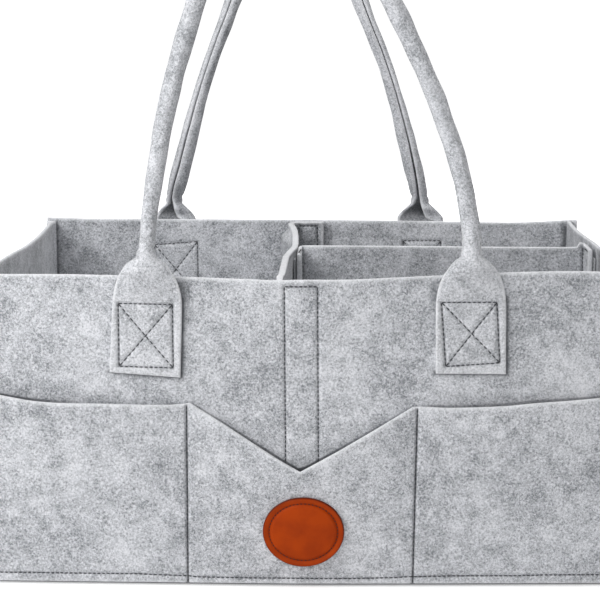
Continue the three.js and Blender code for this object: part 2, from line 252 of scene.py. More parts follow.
@dataclass(frozen=True)
class Wall:
    """The shape that one wall and all that lies on it follow.

    Attributes:
        side: Which wall it is.
        bow_floor: How far its middle stands out at the floor.
        bow_rim: How far its middle stands out at the rim.
        half_span: Half the wall's length.
        rim: Height of the rim along the wall.
        calm: Stretch of the wall that a divider is stuck to, with no unevenness.
        seed: Picks the wall's unevenness.
        unevenness: How far the felt wanders in and out.
        rim_bow: How far its rim stands out at places along it, or none for an even bow.
        crest: How round its bow is: 2 for an even bow, less for a crest along its middle.
    """

    side: Side
    bow_floor: float
    bow_rim: float
    half_span: float
    rim: Knots
    calm: Spot
    seed: float
    unevenness: float = 1.5
    rim_bow: Knots = ()
    crest: float = 2.0

    def point(self, along: float, out: float, z: float) -> Vector:
        """A place along the wall, a distance out from the bag's middle and a height, as a point."""
        x, y = self.side.value
        return Vector((x * out + abs(y) * along, y * out + abs(x) * along, z))

    def bow(self, along: float, z: float) -> float:
        """How far the wall stands out of its flat plane, with the felt's slight unevenness.

        Args:
            along: Place along the wall.
            z: Height.

        Returns:
            The distance.
        """
        share = min(abs(along) / self.half_span, 1.0)
        floor = self.bow_floor * (1.0 - share**self.crest)
        rim = smooth_curve(self.rim_bow, along) if self.rim_bow else self.bow_rim * (1.0 - share**self.crest)
        away = ease(2.0, 38.0, max(self.calm[0] - along, along - self.calm[1]))
        level = ease(0.0, 120.0, z) * (1.0 - share**4) * away
        spot = Vector((along / 75.0, min(z, 205.0) / 85.0, self.seed))
        return blend_between(floor, rim, z / SIZES.wall_height) + self.unevenness * level * noise.noise(spot)

    def at(self, along: float, depth: float, z: float) -> Vector:
        """A point that lies at a depth of the wall's layers, carried by its bow."""
        return self.point(along, depth + self.bow(along, z), z)

    def top(self, along: float) -> float:
        """Height of the rim at a place along the wall."""
        return smooth_curve(self.rim, along)


FRONT_RIM = (
    (-190, 189.0), (-145, 189.6), (-120, 189.5), (-70, 188.9), (-36, 188.0), (-15, 187.4), (0, 187.7), (30, 187.6),
    (55, 188.5), (120, 190.8), (165, 190.9), (190, 189.7)
)
BACK_RIM = ((-190, 192.4), (-150, 191.0), (-60, 190.2), (0, 189.8), (100, 188.6), (150, 188.2), (190, 190.4))
LEFT_RIM_BOW = (
    (-115, 0.0), (-90, 4.4), (-68, 4.1), (-42, 2.4), (-20, 0.1), (0, -0.8), (25, -1.0), (60, 0.0), (92, 1.0),
    (108, 1.8), (115, 0.0)
)
RIGHT_RIM_BOW = ((-115, 0.0), (-70, 3.6), (-30, 4.9), (0, 4.6), (20, 2.9), (45, 1.2), (63, 0.4), (80, 0.0), (115, 0.0))
WALLS = {
    Side.FRONT: Wall(Side.FRONT, 4.0, 14.0, HALF_WIDTH, FRONT_RIM, (-16.0, 14.0), 3.7, crest=1.3),
    Side.BACK: Wall(Side.BACK, 2.0, 5.0, HALF_WIDTH, BACK_RIM, (-16.0, 14.0), 9.1),
    Side.LEFT: Wall(
        Side.LEFT, 1.0, 4.5, SIZES.seam_inner, ((-115, 190.4), (115, 190.6)), (0.0, 0.0), 14.3, 0.8, LEFT_RIM_BOW
    ),
    Side.RIGHT: Wall(
        Side.RIGHT, 2.0, 5.0, SIZES.seam_inner, ((-115, 190.0), (115, 190.4)), (-20.0, 10.0), 21.9, 0.8, RIGHT_RIM_BOW
    ),
}


@dataclass(frozen=True)
class Seam:
    """A line of stitches on a sheet, with the felt sunk in along it and painted groove shade along the line.

    Attributes:
        path: Where the needle goes, as places along and up the sheet.
        faces: The faces that show thread.
        sink: How deep the felt is pulled in.
        reach: How far from the line the felt is pulled in.
        pitch: Length from one needle hole to the next.
        crease_shade: How dark the painted shade along it is, from 0 to 1: groove shade with some packed fibre where it
            is sewn, contact shadow where it has no thread.
        fine: How far from the line the painted shade reaches.
    """

    path: tuple[Spot, ...]
    faces: tuple[Face, ...] = (Face.OUTER,)
    sink: float = 0.8
    reach: float = 1.1
    pitch: float = 2.8
    crease_shade: float = 0.45
    fine: float = 0.7

    def _fade(self, spot: Spot, face: Face, most: float, reach: float) -> float:
        """A strength that is full on the line and fades beside it.

        Args:
            spot: A place along and up the sheet.
            face: The face. One that shows no thread gets 0.3 of the strength.
            most: The full strength.
            reach: How far from the line it is felt.

        Returns:
            The strength at the spot.
        """
        away = distance_to_path(self.path, *spot) / reach
        most *= 1.0 if face in self.faces else 0.3
        return most * math.exp(-away * away) if away < 3.0 else 0.0

    def press(self, along: float, z: float, face: Face) -> float:
        """How deep this seam presses a face of the felt at a spot."""
        return self._fade((along, z), face, self.sink, self.reach)

    def darken(self, along: float, z: float, face: Face) -> float:
        """How dark this seam paints a face at a spot with painted shade, from 0 to 1."""
        return self._fade((along, z), face, self.crease_shade, self.fine)

    def lowered(self, drop: float) -> "Seam":
        """The same thread in heights that are counted from higher up, with the default painted groove shade."""
        path = tuple((along, z - drop) for along, z in self.path)
        return Seam(path, self.faces, self.sink, self.reach, self.pitch)


def box_seam(corners: Sequence[Spot], crossed: bool = True, faces: tuple[Face, ...] = (Face.OUTER,)) -> list[Seam]:
    """The seams of a sewn box.

    Args:
        corners: Its four corners, in order round it.
        crossed: Whether its two diagonals are sewn too.
        faces: The faces that show thread.

    Returns:
        One seam for each side, those between the second and third and the last and first corner pulled tighter,
        and one for each diagonal.
    """
    seams = []
    for k in range(4):
        # The last two values of each set say how dark its painted groove shade is and how far it reaches.
        deep = (1.2, 1.1, 3.0, 0.7, 0.6) if k % 2 else (0.9, 1.0, 3.0, 0.4, 0.5)
        seams.append(Seam((corners[k], corners[(k + 1) % 4]), faces, *deep))
    if crossed:
        seams += [Seam((corners[k], corners[k + 2]), faces, 0.8, 1.0, 3.6, 0.35, 0.5) for k in (0, 1)]
    return seams


def contact(path: tuple[Spot, ...], crease_shade: float, fine: float, face: Face = Face.OUTER) -> Seam:
    """A line without thread, painted with contact shadow, where another piece lies against a sheet and keeps the light
    out.
    """
    return Seam(path, (face,), sink=0.0, crease_shade=crease_shade, fine=fine)


def mesh_object(
    name: str,
    points: Sequence[Vector],
    faces: Sequence[Sequence[int]],
    cut: Sequence[float] = (),
    crease_and_shade: Sequence[float] = (),
) -> bpy.types.Object:
    """Makes a smooth object from points in millimetres.

    Args:
        name: The object's name.
        points: Its points.
        faces: Its faces, as lists of point numbers.
        cut: For each point, how near a cut edge it is, from 0 to 1.
        crease_and_shade: For each point, how dark it is painted, from 0 to 1: shade in grooves, gaps, contacts and
            hollows, with some packed fibre along seams.

    Returns:
        The object, linked to the scene.
    """
    mesh = bpy.data.meshes.new(name)
    mesh.from_pydata([point * MM for point in points], [], faces)
    edit = bmesh.new()
    edit.from_mesh(mesh)
    bmesh.ops.recalc_face_normals(edit, faces=edit.faces)
    edit.to_mesh(mesh)
    edit.free()
    mesh.polygons.foreach_set("use_smooth", [True] * len(mesh.polygons))
    for label, values in (("cut", cut), ("crease_and_shade", crease_and_shade)):
        if values:
            mesh.attributes.new(label, "FLOAT", "POINT").data.foreach_set("value", values)
    mesh.update()
    piece = bpy.data.objects.new(name, mesh)
    bpy.context.scene.collection.objects.link(piece)
    return piece


def two_faced_grid(columns: int, rows: int) -> list[tuple[int, int, int, int]]:
    """Faces of a sheet with two faces and a border, whose back's points follow its front's.

    Args:
        columns: Points in a row.
        rows: Number of rows.

    Returns:
        The faces, as point numbers.
    """
    back = columns * rows
    faces = []
    for j in range(rows - 1):
        for i in range(columns - 1):
            a = j * columns + i
            faces.append((a, a + 1, a + columns + 1, a + columns))
            faces.append((back + a, back + a + columns, back + a + columns + 1, back + a + 1))
    border = list(range(columns)) + [j * columns + columns - 1 for j in range(1, rows)]
    border += [(rows - 1) * columns + i for i in range(columns - 2, -1, -1)]
    border += [j * columns for j in range(rows - 2, 0, -1)]
    faces += [(a, b, back + b, back + a) for a, b in zip(border, border[1:] + border[:1])]
    return faces


def ringed_faces(rings: int, count: int) -> list[tuple[int, ...]]:
    """Faces of a body of rings, closed by two points of its own: over the last ring, then under the first.

    Args:
        rings: Number of rings.
        count: Points in each ring.

    Returns:
        The faces, as point numbers.
    """
    faces = []
    for j in range(rings - 1):
        for i in range(count):
            a, b = j * count + i, j * count + (i + 1) % count
            faces.append((a, b, b + count, a + count))
    last, over, under = (rings - 1) * count, rings * count, rings * count + 1
    for i in range(count):
        faces.append((last + i, last + (i + 1) % count, over))
        faces.append(((i + 1) % count, i, under))
    return faces


def stations(
    low: float, high: float, step: float, near: Iterable[float] = (), exact: Iterable[float] = ()
) -> list[float]:
    """Grid lines that crowd together at both ends and at seams.

    Args:
        low: First line.
        high: Last line.
        step: Greatest distance between lines.
        near: Places with seams.
        exact: Places that must have a line of their own.

    Returns:
        The lines in order, none closer than 0.18.
    """
    count = max(2, math.ceil((high - low) / step))
    loose = [low + (high - low) * k / count for k in range(1, count)]
    fixed = [low, high, *exact]
    for away in (0.16, 0.5, 1.1, 2.2):
        fixed += [low + away, high - away]
    for middle in near:
        fixed += [middle + away for away in (-3.4, -2.2, -1.4, -0.7, 0.0, 0.7, 1.4, 2.2, 3.4)]
    lines: list[float] = []
    for place in sorted(p for p in fixed if low <= p <= high):
        if not lines or place - lines[-1] > 0.14:
            lines.append(place)
    lines[-1] = high
    lines += [p for p in loose if min(abs(p - q) for q in lines) > step * 0.3]
    return sorted(lines)


EDGE_ROUND = 1.15  # radius that a cut felt edge wears to
# The paler band along cut edges is partly looser fibre and partly a painted highlight.
CUT_REACH = 2.6  # how far in from a cut edge the felt is paler


@dataclass
class Sheet:
    """A sheet of felt or tape: a grid with two faces, worn cut edges and sunk seams.

    Attributes:
        name: Name of the piece.
        place: Turns a place along, a height and a depth from the inside face into a point.
        along: Grid lines along the sheet.
        up: Grid lines up the sheet, as heights at its full height.
        full: The full height that the lines in up are given for.
        top: The sheet's height at a place along it.
        thickness: Thickness of the sheet.
        seams: Its seams.
        steady: Height below which grid lines keep their own height.
        edge_round: Radius that its cut edges wear to.
        covered: A piece sewn on the outer face: the line that its top edge follows, its nominal height, and
        how dark the painted shadow in the gap behind that edge is along it.
        contacts: Lines of painted contact shadow, where another piece lies against it and keeps the light out.
    """

    name: str
    place: Callable[[float, float, float], Vector]
    along: list[float]
    up: list[float]
    full: float
    top: Callable[[float], float]
    thickness: float = SIZES.felt
    seams: list[Seam] = field(default_factory=list)
    steady: float = 12.0
    edge_round: float = EDGE_ROUND
    covered: tuple[Callable[[float], float], float, Knots] | None = None
    contacts: list[Seam] = field(default_factory=list)

    def height(self, along: float, line: float) -> float:
        """Real height of a grid line at a place along the sheet.

        Args:
            along: The place.
            line: The line's height at the sheet's full height.

        Returns:
            The height.
        """
        if line <= self.steady:
            return line
        if self.covered:
            low, nominal = self.covered[0](along), self.covered[1]
            if line <= nominal:
                return self.steady + (line - self.steady) * (low - self.steady) / (nominal - self.steady)
            return low + (line - nominal) * (self.top(along) - low) / (self.full - nominal)
        return self.steady + (line - self.steady) * (self.top(along) - self.steady) / (self.full - self.steady)

    def edge(self, along: float, z: float) -> float:
        """Distance to the nearest cut edge.

        Args:
            along: Place along the sheet.
            z: Height on it.

        Returns:
            The distance.
        """
        slope = (self.top(along + 0.5) - self.top(along - 0.5)) if abs(along) < HALF_WIDTH - 1 else 0.0
        above = (self.top(along) - z) / math.sqrt(1.0 + slope * slope)
        return min(above, z - self.up[0], along - self.along[0], self.along[-1] - along)

    def depth(self, along: float, z: float, face: Face) -> float:
        """Depth of a face at a spot, from the sheet's inside.

        Args:
            along: The spot's place along the sheet.
            z: Its height.
            face: The face.

        Returns:
            The depth.
        """
        inset = 0.0
        away = self.edge(along, z)
        if away < self.edge_round:
            share = 1.0 - max(away, 0.0) / self.edge_round
            inset = min(self.edge_round * (1.0 - math.sqrt(max(0.0, 1.0 - share * share))), self.thickness * 0.4)
        press = max((seam.press(along, z, face) for seam in self.seams), default=0.0)
        inset = min(inset + press, self.thickness * 0.58)
        return self.thickness - inset if face is Face.OUTER else inset

    def crease_shade(self, along: float, z: float, face: Face) -> float:
        """How dark the fibre is painted: groove shade with some packed fibre along seams, and shade along contact lines
        and in the gap over a covering piece.

        Args:
            along: The spot's place along the sheet.
            z: Its height.
            face: The face.

        Returns:
            A share from 0 to 1.
        """
        dark = max((seam.darken(along, z, face) for seam in self.seams), default=0.0)
        dark = max([dark, *(line.darken(along, z, face) for line in self.contacts if face in line.faces)])
        if self.covered and face is Face.OUTER:
            above, most = max(z - self.covered[0](along), 0.0), polyline(self.covered[2], along)
            dark = max(dark, most * math.exp(-((above / 0.62) ** 2)), 0.24 * most * math.exp(-above / 4.0))
        return dark

    def build(self) -> bpy.types.Object:
        """Makes the sheet's mesh.

        Returns:
            Its object.
        """
        points, cut, crease_and_shade = [], [], []
        for face in Face:
            for line in self.up:
                for along in self.along:
                    z = self.height(along, line)
                    points.append(self.place(along, z, self.depth(along, z, face)))
                    cut.append(clamp(1.0 - self.edge(along, z) / CUT_REACH))
                    crease_and_shade.append(self.crease_shade(along, z, face))
        return mesh_object(self.name, points, two_faced_grid(len(self.along), len(self.up)), cut, crease_and_shade)


@dataclass
class ThreadWork:
    """The stitches of one sub-assembly, gathered into one object."""

    name: str
    radius: float = 0.4
    points: list[Vector] = field(default_factory=list)
    faces: list[tuple[int, ...]] = field(default_factory=list)

    def stitch(self, line: Sequence[Vector]) -> None:
        """Adds one stitch, thinner at both ends.

        Args:
            line: The points that it follows.
        """
        sides = 5
        start = len(self.points)
        run = (line[-1] - line[0]).normalized()
        aside = run.orthogonal().normalized()
        other = run.cross(aside)
        for k, centre in enumerate(line):
            share = abs(2.0 * k / (len(line) - 1) - 1.0)
            radius = self.radius * (1.0 - 0.45 * share**2)
            for m in range(sides):
                angle = 2 * math.pi * m / sides
                self.points.append(centre + (aside * math.cos(angle) + other * math.sin(angle)) * radius)
        for k in range(len(line) - 1):
            for m in range(sides):
                a, b = start + k * sides + m, start + k * sides + (m + 1) % sides
                self.faces.append((a, b, b + sides, a + sides))
        self.faces.append(tuple(start + m for m in reversed(range(sides))))
        self.faces.append(tuple(start + (len(line) - 1) * sides + m for m in range(sides)))

    def follow(self, seam: Seam, spot: Callable[[float, float, float], Vector]) -> None:
        """Sews along a seam.

        Args:
            seam: The seam.
            spot: Turns a place along, a place up and a lift over the felt into a point.
        """
        for start, end in zip(seam.path, seam.path[1:]):
            count = max(1, round(math.dist(start, end) / seam.pitch))
            for k in range(count):
                line = []
                for share, lift in STITCH_ARC:
                    part = (k + blend_between(0.08, 0.92, share)) / count
                    line.append(
                        spot(blend_between(start[0], end[0], part), blend_between(start[1], end[1], part), lift)
                    )
                self.stitch(line)

    def sew(self, sheet: Sheet) -> None:
        """Sews all seams of a sheet, on its own surface.

        Args:
            sheet: The sheet.
        """
        for seam in sheet.seams:
            for face in seam.faces:
                self.follow(
                    seam, lambda along, z, lift: sheet.place(along, z, sheet.depth(along, z, face) + lift * face.value)
                )

    def build(self, finish: bpy.types.Material, body: str, slot: str = "felt") -> None:
        """Makes the object of all the stitches.

        Args:
            finish: Its material.
            body: The CAD body that it moves with.
            slot: The record's material slot.
        """
        dress(mesh_object(self.name, self.points, self.faces), finish, body, slot, [])


def dress(piece: bpy.types.Object, finish: bpy.types.Material, body: str, slot: str, nodes: Sequence[str]) -> None:
    """Finishes a piece.

    Args:
        piece: The piece.
        finish: Its material.
        body: The CAD body that it moves with.
        slot: Not used.
        nodes: The CAD nodes that it stands for.
    """
    piece.data.materials.append(finish)
    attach(piece, body)
    if nodes:
        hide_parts(*nodes)
    log.info("%s: %d points on %s", piece.name, len(piece.data.vertices), body)


# Colour and materials


def srgb(code: str) -> tuple[float, float, float, float]:
    """Turns an sRGB hex colour into linear values."""
    parts = [int(code[k : k + 2], 16) / 255 for k in (1, 3, 5)]
    return (*(p / 12.92 if p <= 0.04045 else ((p + 0.055) / 1.055) ** 2.4 for p in parts), 1.0)


def per_metre(size: float) -> float:
    """Texture scale for a pattern of a real size in millimetres."""
    return 1.0 / (size * MM)


def set_inputs(tree: bpy.types.NodeTree, node: bpy.types.Node, inputs: dict) -> None:
    """Sets a node's inputs.

    Args:
        tree: The node tree.
        node: The node.
        inputs: Values, or sockets to link, by the input's name or number.
    """
    for key, value in inputs.items():
        if isinstance(value, bpy.types.NodeSocket):
            tree.links.new(value, node.inputs[key])
        else:
            node.inputs[key].default_value = value


def add_node(tree: bpy.types.NodeTree, kind: str, inputs: dict | None = None, **settings: object) -> bpy.types.Node:
    """Adds a node with its settings and links.

    Args:
        tree: The node tree.
        kind: Blender's name of the node.
        inputs: Values or sockets for its inputs, by name or number.
        settings: Its own properties.

    Returns:
        The node.
    """
    made = tree.nodes.new(kind)
    for key, value in settings.items():
        setattr(made, key, value)
    set_inputs(tree, made, inputs or {})
    return made


def set_ramp(ramp: bpy.types.Node, stops: Sequence[tuple[float, tuple[float, float, float, float]]]) -> None:
    """Gives a colour ramp its stops.

    Args:
        ramp: The ramp's node.
        stops: Places from 0 to 1, with their colours.
    """
    elements = ramp.color_ramp.elements
    while len(elements) < len(stops):
        elements.new(0.5)
    for element, (place, colour) in zip(elements, stops):
        element.position = place
        element.color = colour


def new_material(name: str) -> tuple[bpy.types.Material, bpy.types.NodeTree, bpy.types.Node, bpy.types.NodeSocket]:
    """A new material with a bare principled shader.

    Args:
        name: The material's name.

    Returns:
        The material, its tree, the shader, and the piece's own coordinates.
    """
    material = bpy.data.materials.new(name)
    material.use_nodes = True
    tree = material.node_tree
    spot = add_node(tree, "ShaderNodeTexCoord").outputs["Object"]
    return material, tree, tree.nodes["Principled BSDF"], spot


@dataclass(frozen=True)
class FeltFinish:
    """Needle-punched polyester felt in grey marl.

    Pale and dark fibres are punched together without a weave, so the eye sees fine flecks that bunch
    into soft clouds, a matt face with a little fuzz, and a paler band along each cut edge, partly looser fibre and
    partly a painted highlight. Painted shade darkens it along seams, gaps and contact lines, with some packed fibre.
    """

    name: str = "needle_punched_polyester_felt"
    dark: str = "#7A7D81"
    middle: str = "#BEC0C5"
    pale: str = "#E4E5E9"
    # Paler colour of cut edges: partly looser fibre, partly a painted highlight.
    edge: str = "#EDEEF1"
    # Dark colour of painted shade in grooves, gaps, contacts and hollows, with some packed fibre.
    crease_shade: str = "#3A3D41"
    fleck: float = 1.25  # mm, a bunch of fibres; single fibres are too fine to show
    cloud: float = 9.0  # mm
    blotch: float = 45.0  # mm
    fuzz: float = 0.75  # mm, relief of the fibres

    def material(self) -> bpy.types.Material:
        """Makes the material.

        Returns:
            The material.
        """
        made, tree, shader, spot = new_material(self.name)
        fleck = add_node(
            tree, "ShaderNodeTexNoise",
            {"Vector": spot, "Scale": per_metre(self.fleck), "Detail": 5.0, "Roughness": 0.8, "Distortion": 0.6}
        )
        cloud = add_node(
            tree, "ShaderNodeTexNoise",
            {"Vector": spot, "Scale": per_metre(self.cloud), "Detail": 3.0, "Roughness": 0.6}
        )
        blotch = add_node(
            tree, "ShaderNodeTexNoise",
            {"Vector": spot, "Scale": per_metre(self.blotch), "Detail": 2.0, "Roughness": 0.5}
        )
        clouds = add_node(tree, "ShaderNodeMath", {0: cloud.outputs["Fac"], 1: 0.21}, operation="MULTIPLY")
        blotches = add_node(
            tree, "ShaderNodeMath", {0: blotch.outputs["Fac"], 1: 0.14, 2: clouds.outputs[0]}, operation="MULTIPLY_ADD"
        )
        marl = add_node(
            tree, "ShaderNodeMath", {0: fleck.outputs["Fac"], 1: 0.74, 2: blotches.outputs[0]}, operation="MULTIPLY_ADD"
        )
        shade = add_node(tree, "ShaderNodeValToRGB", {"Fac": marl.outputs[0]})
        set_ramp(shade, ((0.45, srgb(self.dark)), (0.545, srgb(self.middle)), (0.638, srgb(self.pale))))
        # Cut edges mixed towards the paler edge colour: partly looser fibre, partly a painted highlight.
        cut = add_node(tree, "ShaderNodeAttribute", attribute_name="cut")
        loose = add_node(tree, "ShaderNodeMath", {0: cut.outputs["Fac"], 1: 0.6}, operation="MULTIPLY", use_clamp=True)
        colour = add_node(
            tree, "ShaderNodeMix", {"Factor": loose.outputs[0], "A": shade.outputs["Color"], "B": srgb(self.edge)},
            data_type="RGBA"
        )
        # Painted shade from the mesh's darkness attribute, mixed towards the dark colour.
        crease_and_shade = add_node(tree, "ShaderNodeAttribute", attribute_name="crease_and_shade")
        crease_shaded_colour = add_node(
            tree, "ShaderNodeMix",
            {"Factor": crease_and_shade.outputs["Fac"], "A": colour.outputs["Result"], "B": srgb(self.crease_shade)}, data_type="RGBA"
        )
        fibres = add_node(
            tree, "ShaderNodeTexNoise",
            {"Vector": spot, "Scale": per_metre(self.fuzz), "Detail": 3.0, "Roughness": 0.7, "Distortion": 1.2}
        )
        relief = add_node(
            tree, "ShaderNodeMath", {0: fibres.outputs["Fac"], 1: 1.0, 2: cloud.outputs["Fac"]},
            operation="MULTIPLY_ADD"
        )
        bump = add_node(tree, "ShaderNodeBump", {"Strength": 0.55, "Distance": 0.0004, "Height": relief.outputs[0]})
        set_inputs(tree, shader, {"Base Color": crease_shaded_colour.outputs["Result"], "Normal": bump.outputs["Normal"]})
        set_inputs(
            tree, shader, {"Roughness": 0.95, "Specular IOR Level": 0.15, "Sheen Weight": 0.22, "Sheen Roughness": 0.6}
        )
        return made


@dataclass(frozen=True)
class TapeFinish:
    """Woven nylon tape with brushed loops or cut hooks.

    The loops give a soft, slightly cloudy pile. The hooks stand in even rows, so they read as a fine
    grid with a faint gloss.
    """

    name: str
    colour: str
    shadow: str
    pile: float  # mm, from tuft to tuft
    in_rows: bool
    roughness: float

    def material(self) -> bpy.types.Material:
        """Makes the material.

        Returns:
            The material.
        """
        made, tree, shader, spot = new_material(self.name)
        if self.in_rows:
            tufts = add_node(
                tree, "ShaderNodeTexVoronoi", {"Vector": spot, "Scale": per_metre(self.pile), "Randomness": 0.15}
            )
            height = add_node(
                tree, "ShaderNodeMath", {0: 1.0, 1: tufts.outputs["Distance"]}, operation="SUBTRACT"
            ).outputs[0]
        else:
            height = add_node(
                tree, "ShaderNodeTexNoise",
                {"Vector": spot, "Scale": per_metre(self.pile), "Detail": 4.0, "Roughness": 0.7, "Distortion": 2.0}
            ).outputs["Fac"]
        shade = add_node(tree, "ShaderNodeValToRGB", {"Fac": height})
        set_ramp(shade, ((0.3, srgb(self.shadow)), (0.62, srgb(self.colour))))
        bump = add_node(tree, "ShaderNodeBump", {"Strength": 0.7, "Distance": 0.0005, "Height": height})
        set_inputs(tree, shader, {"Base Color": shade.outputs["Color"], "Normal": bump.outputs["Normal"]})
        set_inputs(tree, shader, {"Roughness": self.roughness, "Sheen Weight": 0.1})
        return made


@dataclass(frozen=True)
class ThreadFinish:
    """Spun polyester sewing thread: matt, with the slight unevenness of its two twisted plies."""

    name: str
    colour: str
    highlight: str

    def material(self) -> bpy.types.Material:
        """Makes the material.

        Returns:
            The material.
        """
        made, tree, shader, spot = new_material(self.name)
        plies = add_node(tree, "ShaderNodeTexNoise", {"Vector": spot, "Scale": per_metre(0.8), "Detail": 2.0})
        shade = add_node(tree, "ShaderNodeValToRGB", {"Fac": plies.outputs["Fac"]})
        set_ramp(shade, ((0.35, srgb(self.colour)), (0.7, srgb(self.highlight))))
        set_inputs(tree, shader, {"Base Color": shade.outputs["Color"], "Roughness": 0.75})
        return made


@dataclass(frozen=True)
class LeatherFinish:
    """Smooth finished split leather, tan with stained edges.

    Pigment over fine pores gives an even satin colour with a faint grain, and the edge stain and the
    sunk stitch line read darker.
    """

    name: str = "finished_split_leather"
    colour: str = "#AA3D02"
    deep: str = "#963303"
    stain: str = "#5A1A04"
    grain: float = 0.9  # mm, pore spacing, coarser than real so that it shows

    def material(self) -> bpy.types.Material:
        """Makes the material.

        Returns:
            The material.
        """
        made, tree, shader, spot = new_material(self.name)
        cloud = add_node(tree, "ShaderNodeTexNoise", {"Vector": spot, "Scale": per_metre(12.0), "Detail": 3.0})
        pores = add_node(
            tree, "ShaderNodeTexVoronoi", {"Vector": spot, "Scale": per_metre(self.grain)}, feature="DISTANCE_TO_EDGE"
        )
        shade = add_node(tree, "ShaderNodeValToRGB", {"Fac": cloud.outputs["Fac"]})
        set_ramp(shade, ((0.35, srgb(self.deep)), (0.65, srgb(self.colour))))
        cut = add_node(tree, "ShaderNodeAttribute", attribute_name="cut")
        colour = add_node(
            tree, "ShaderNodeMix", {"Factor": cut.outputs["Fac"], "A": shade.outputs["Color"], "B": srgb(self.stain)},
            data_type="RGBA"
        )
        bump = add_node(
            tree, "ShaderNodeBump", {"Strength": 0.25, "Distance": 0.0002, "Height": pores.outputs["Distance"]}
        )
        set_inputs(tree, shader, {"Base Color": colour.outputs["Result"], "Normal": bump.outputs["Normal"]})
        set_inputs(tree, shader, {"Roughness": 0.52, "Specular IOR Level": 0.1})
        return made


@dataclass
class Finishes:
    """All the materials, made once."""

    felt: bpy.types.Material = field(default_factory=lambda: FeltFinish().material())
    loops: bpy.types.Material = field(
        default_factory=lambda: TapeFinish("brushed_nylon_loop_tape", "#C9CACD", "#85878B", 1.1, False, 0.9).material()
    )
    hooks: bpy.types.Material = field(
        default_factory=lambda: TapeFinish("moulded_nylon_hook_tape", "#B9BBBE", "#6F7276", 1.3, True, 0.55).material()
    )
    thread: bpy.types.Material = field(
        default_factory=lambda: ThreadFinish("spun_polyester_thread_grey", "#232528", "#484A4F").material()
    )
    badge_thread: bpy.types.Material = field(
        default_factory=lambda: ThreadFinish("spun_polyester_thread_brown", "#2E0C08", "#52180C").material()
    )
    leather: bpy.types.Material = field(default_factory=lambda: LeatherFinish().material())


# The bag's sub-assemblies


@dataclass
class WallPiece:
    """Shared ways to lay a sheet on a wall and to finish it."""

    finishes: Finishes

    def sew_up(self, sheet: Sheet, node: str, body: str = "bag") -> None:
        """Makes a sheet of felt and its stitches.

        Args:
            sheet: The sheet.
            node: The CAD node that it stands for.
            body: The CAD body that it moves with.
        """
        dress(sheet.build(), self.finishes.felt, body, "felt", [node])
        thread = ThreadWork(f"{node}_stitches")
        thread.sew(sheet)
        thread.build(self.finishes.thread, body)

    @staticmethod
    def on_wall(
        wall: Wall, inner: float, stand: Callable[[float, float], float] | None = None
    ) -> Callable[[float, float, float], Vector]:
        """How a sheet lies on a wall.

        Args:
            wall: The wall.
            inner: Depth of the sheet's inside face.
            stand: How far it stands off the wall at each spot, or None.

        Returns:
            The sheet's place function.
        """

        def place(along: float, z: float, depth: float) -> Vector:
            """A point of the sheet."""
            off = stand(along, z) if stand else 0.0
            return wall.at(along, inner + depth + off, z)

        return place


@dataclass(frozen=True)
class StripShape:
    """How a handle's strip is rolled, each value against the height that the strip has climbed.

    Attributes:
        half: Half the width that its middle layer takes up.
        trims: How much more than that half the width is, on the left leg and on the right leg.
        curl: Angle that its width is rolled through.
        squeeze: Depth of the roll as a share of its half width.
        turns: How far the roll is turned, on the left leg and on the right leg.
        stand: How far its middle stands out, above the rim.
        width: Width of the strip laid flat.
    """

    half: Knots
    trims: tuple[Knots, Knots]
    curl: Knots
    squeeze: Knots
    turns: tuple[Knots, Knots]
    stand: Knots
    width: Knots


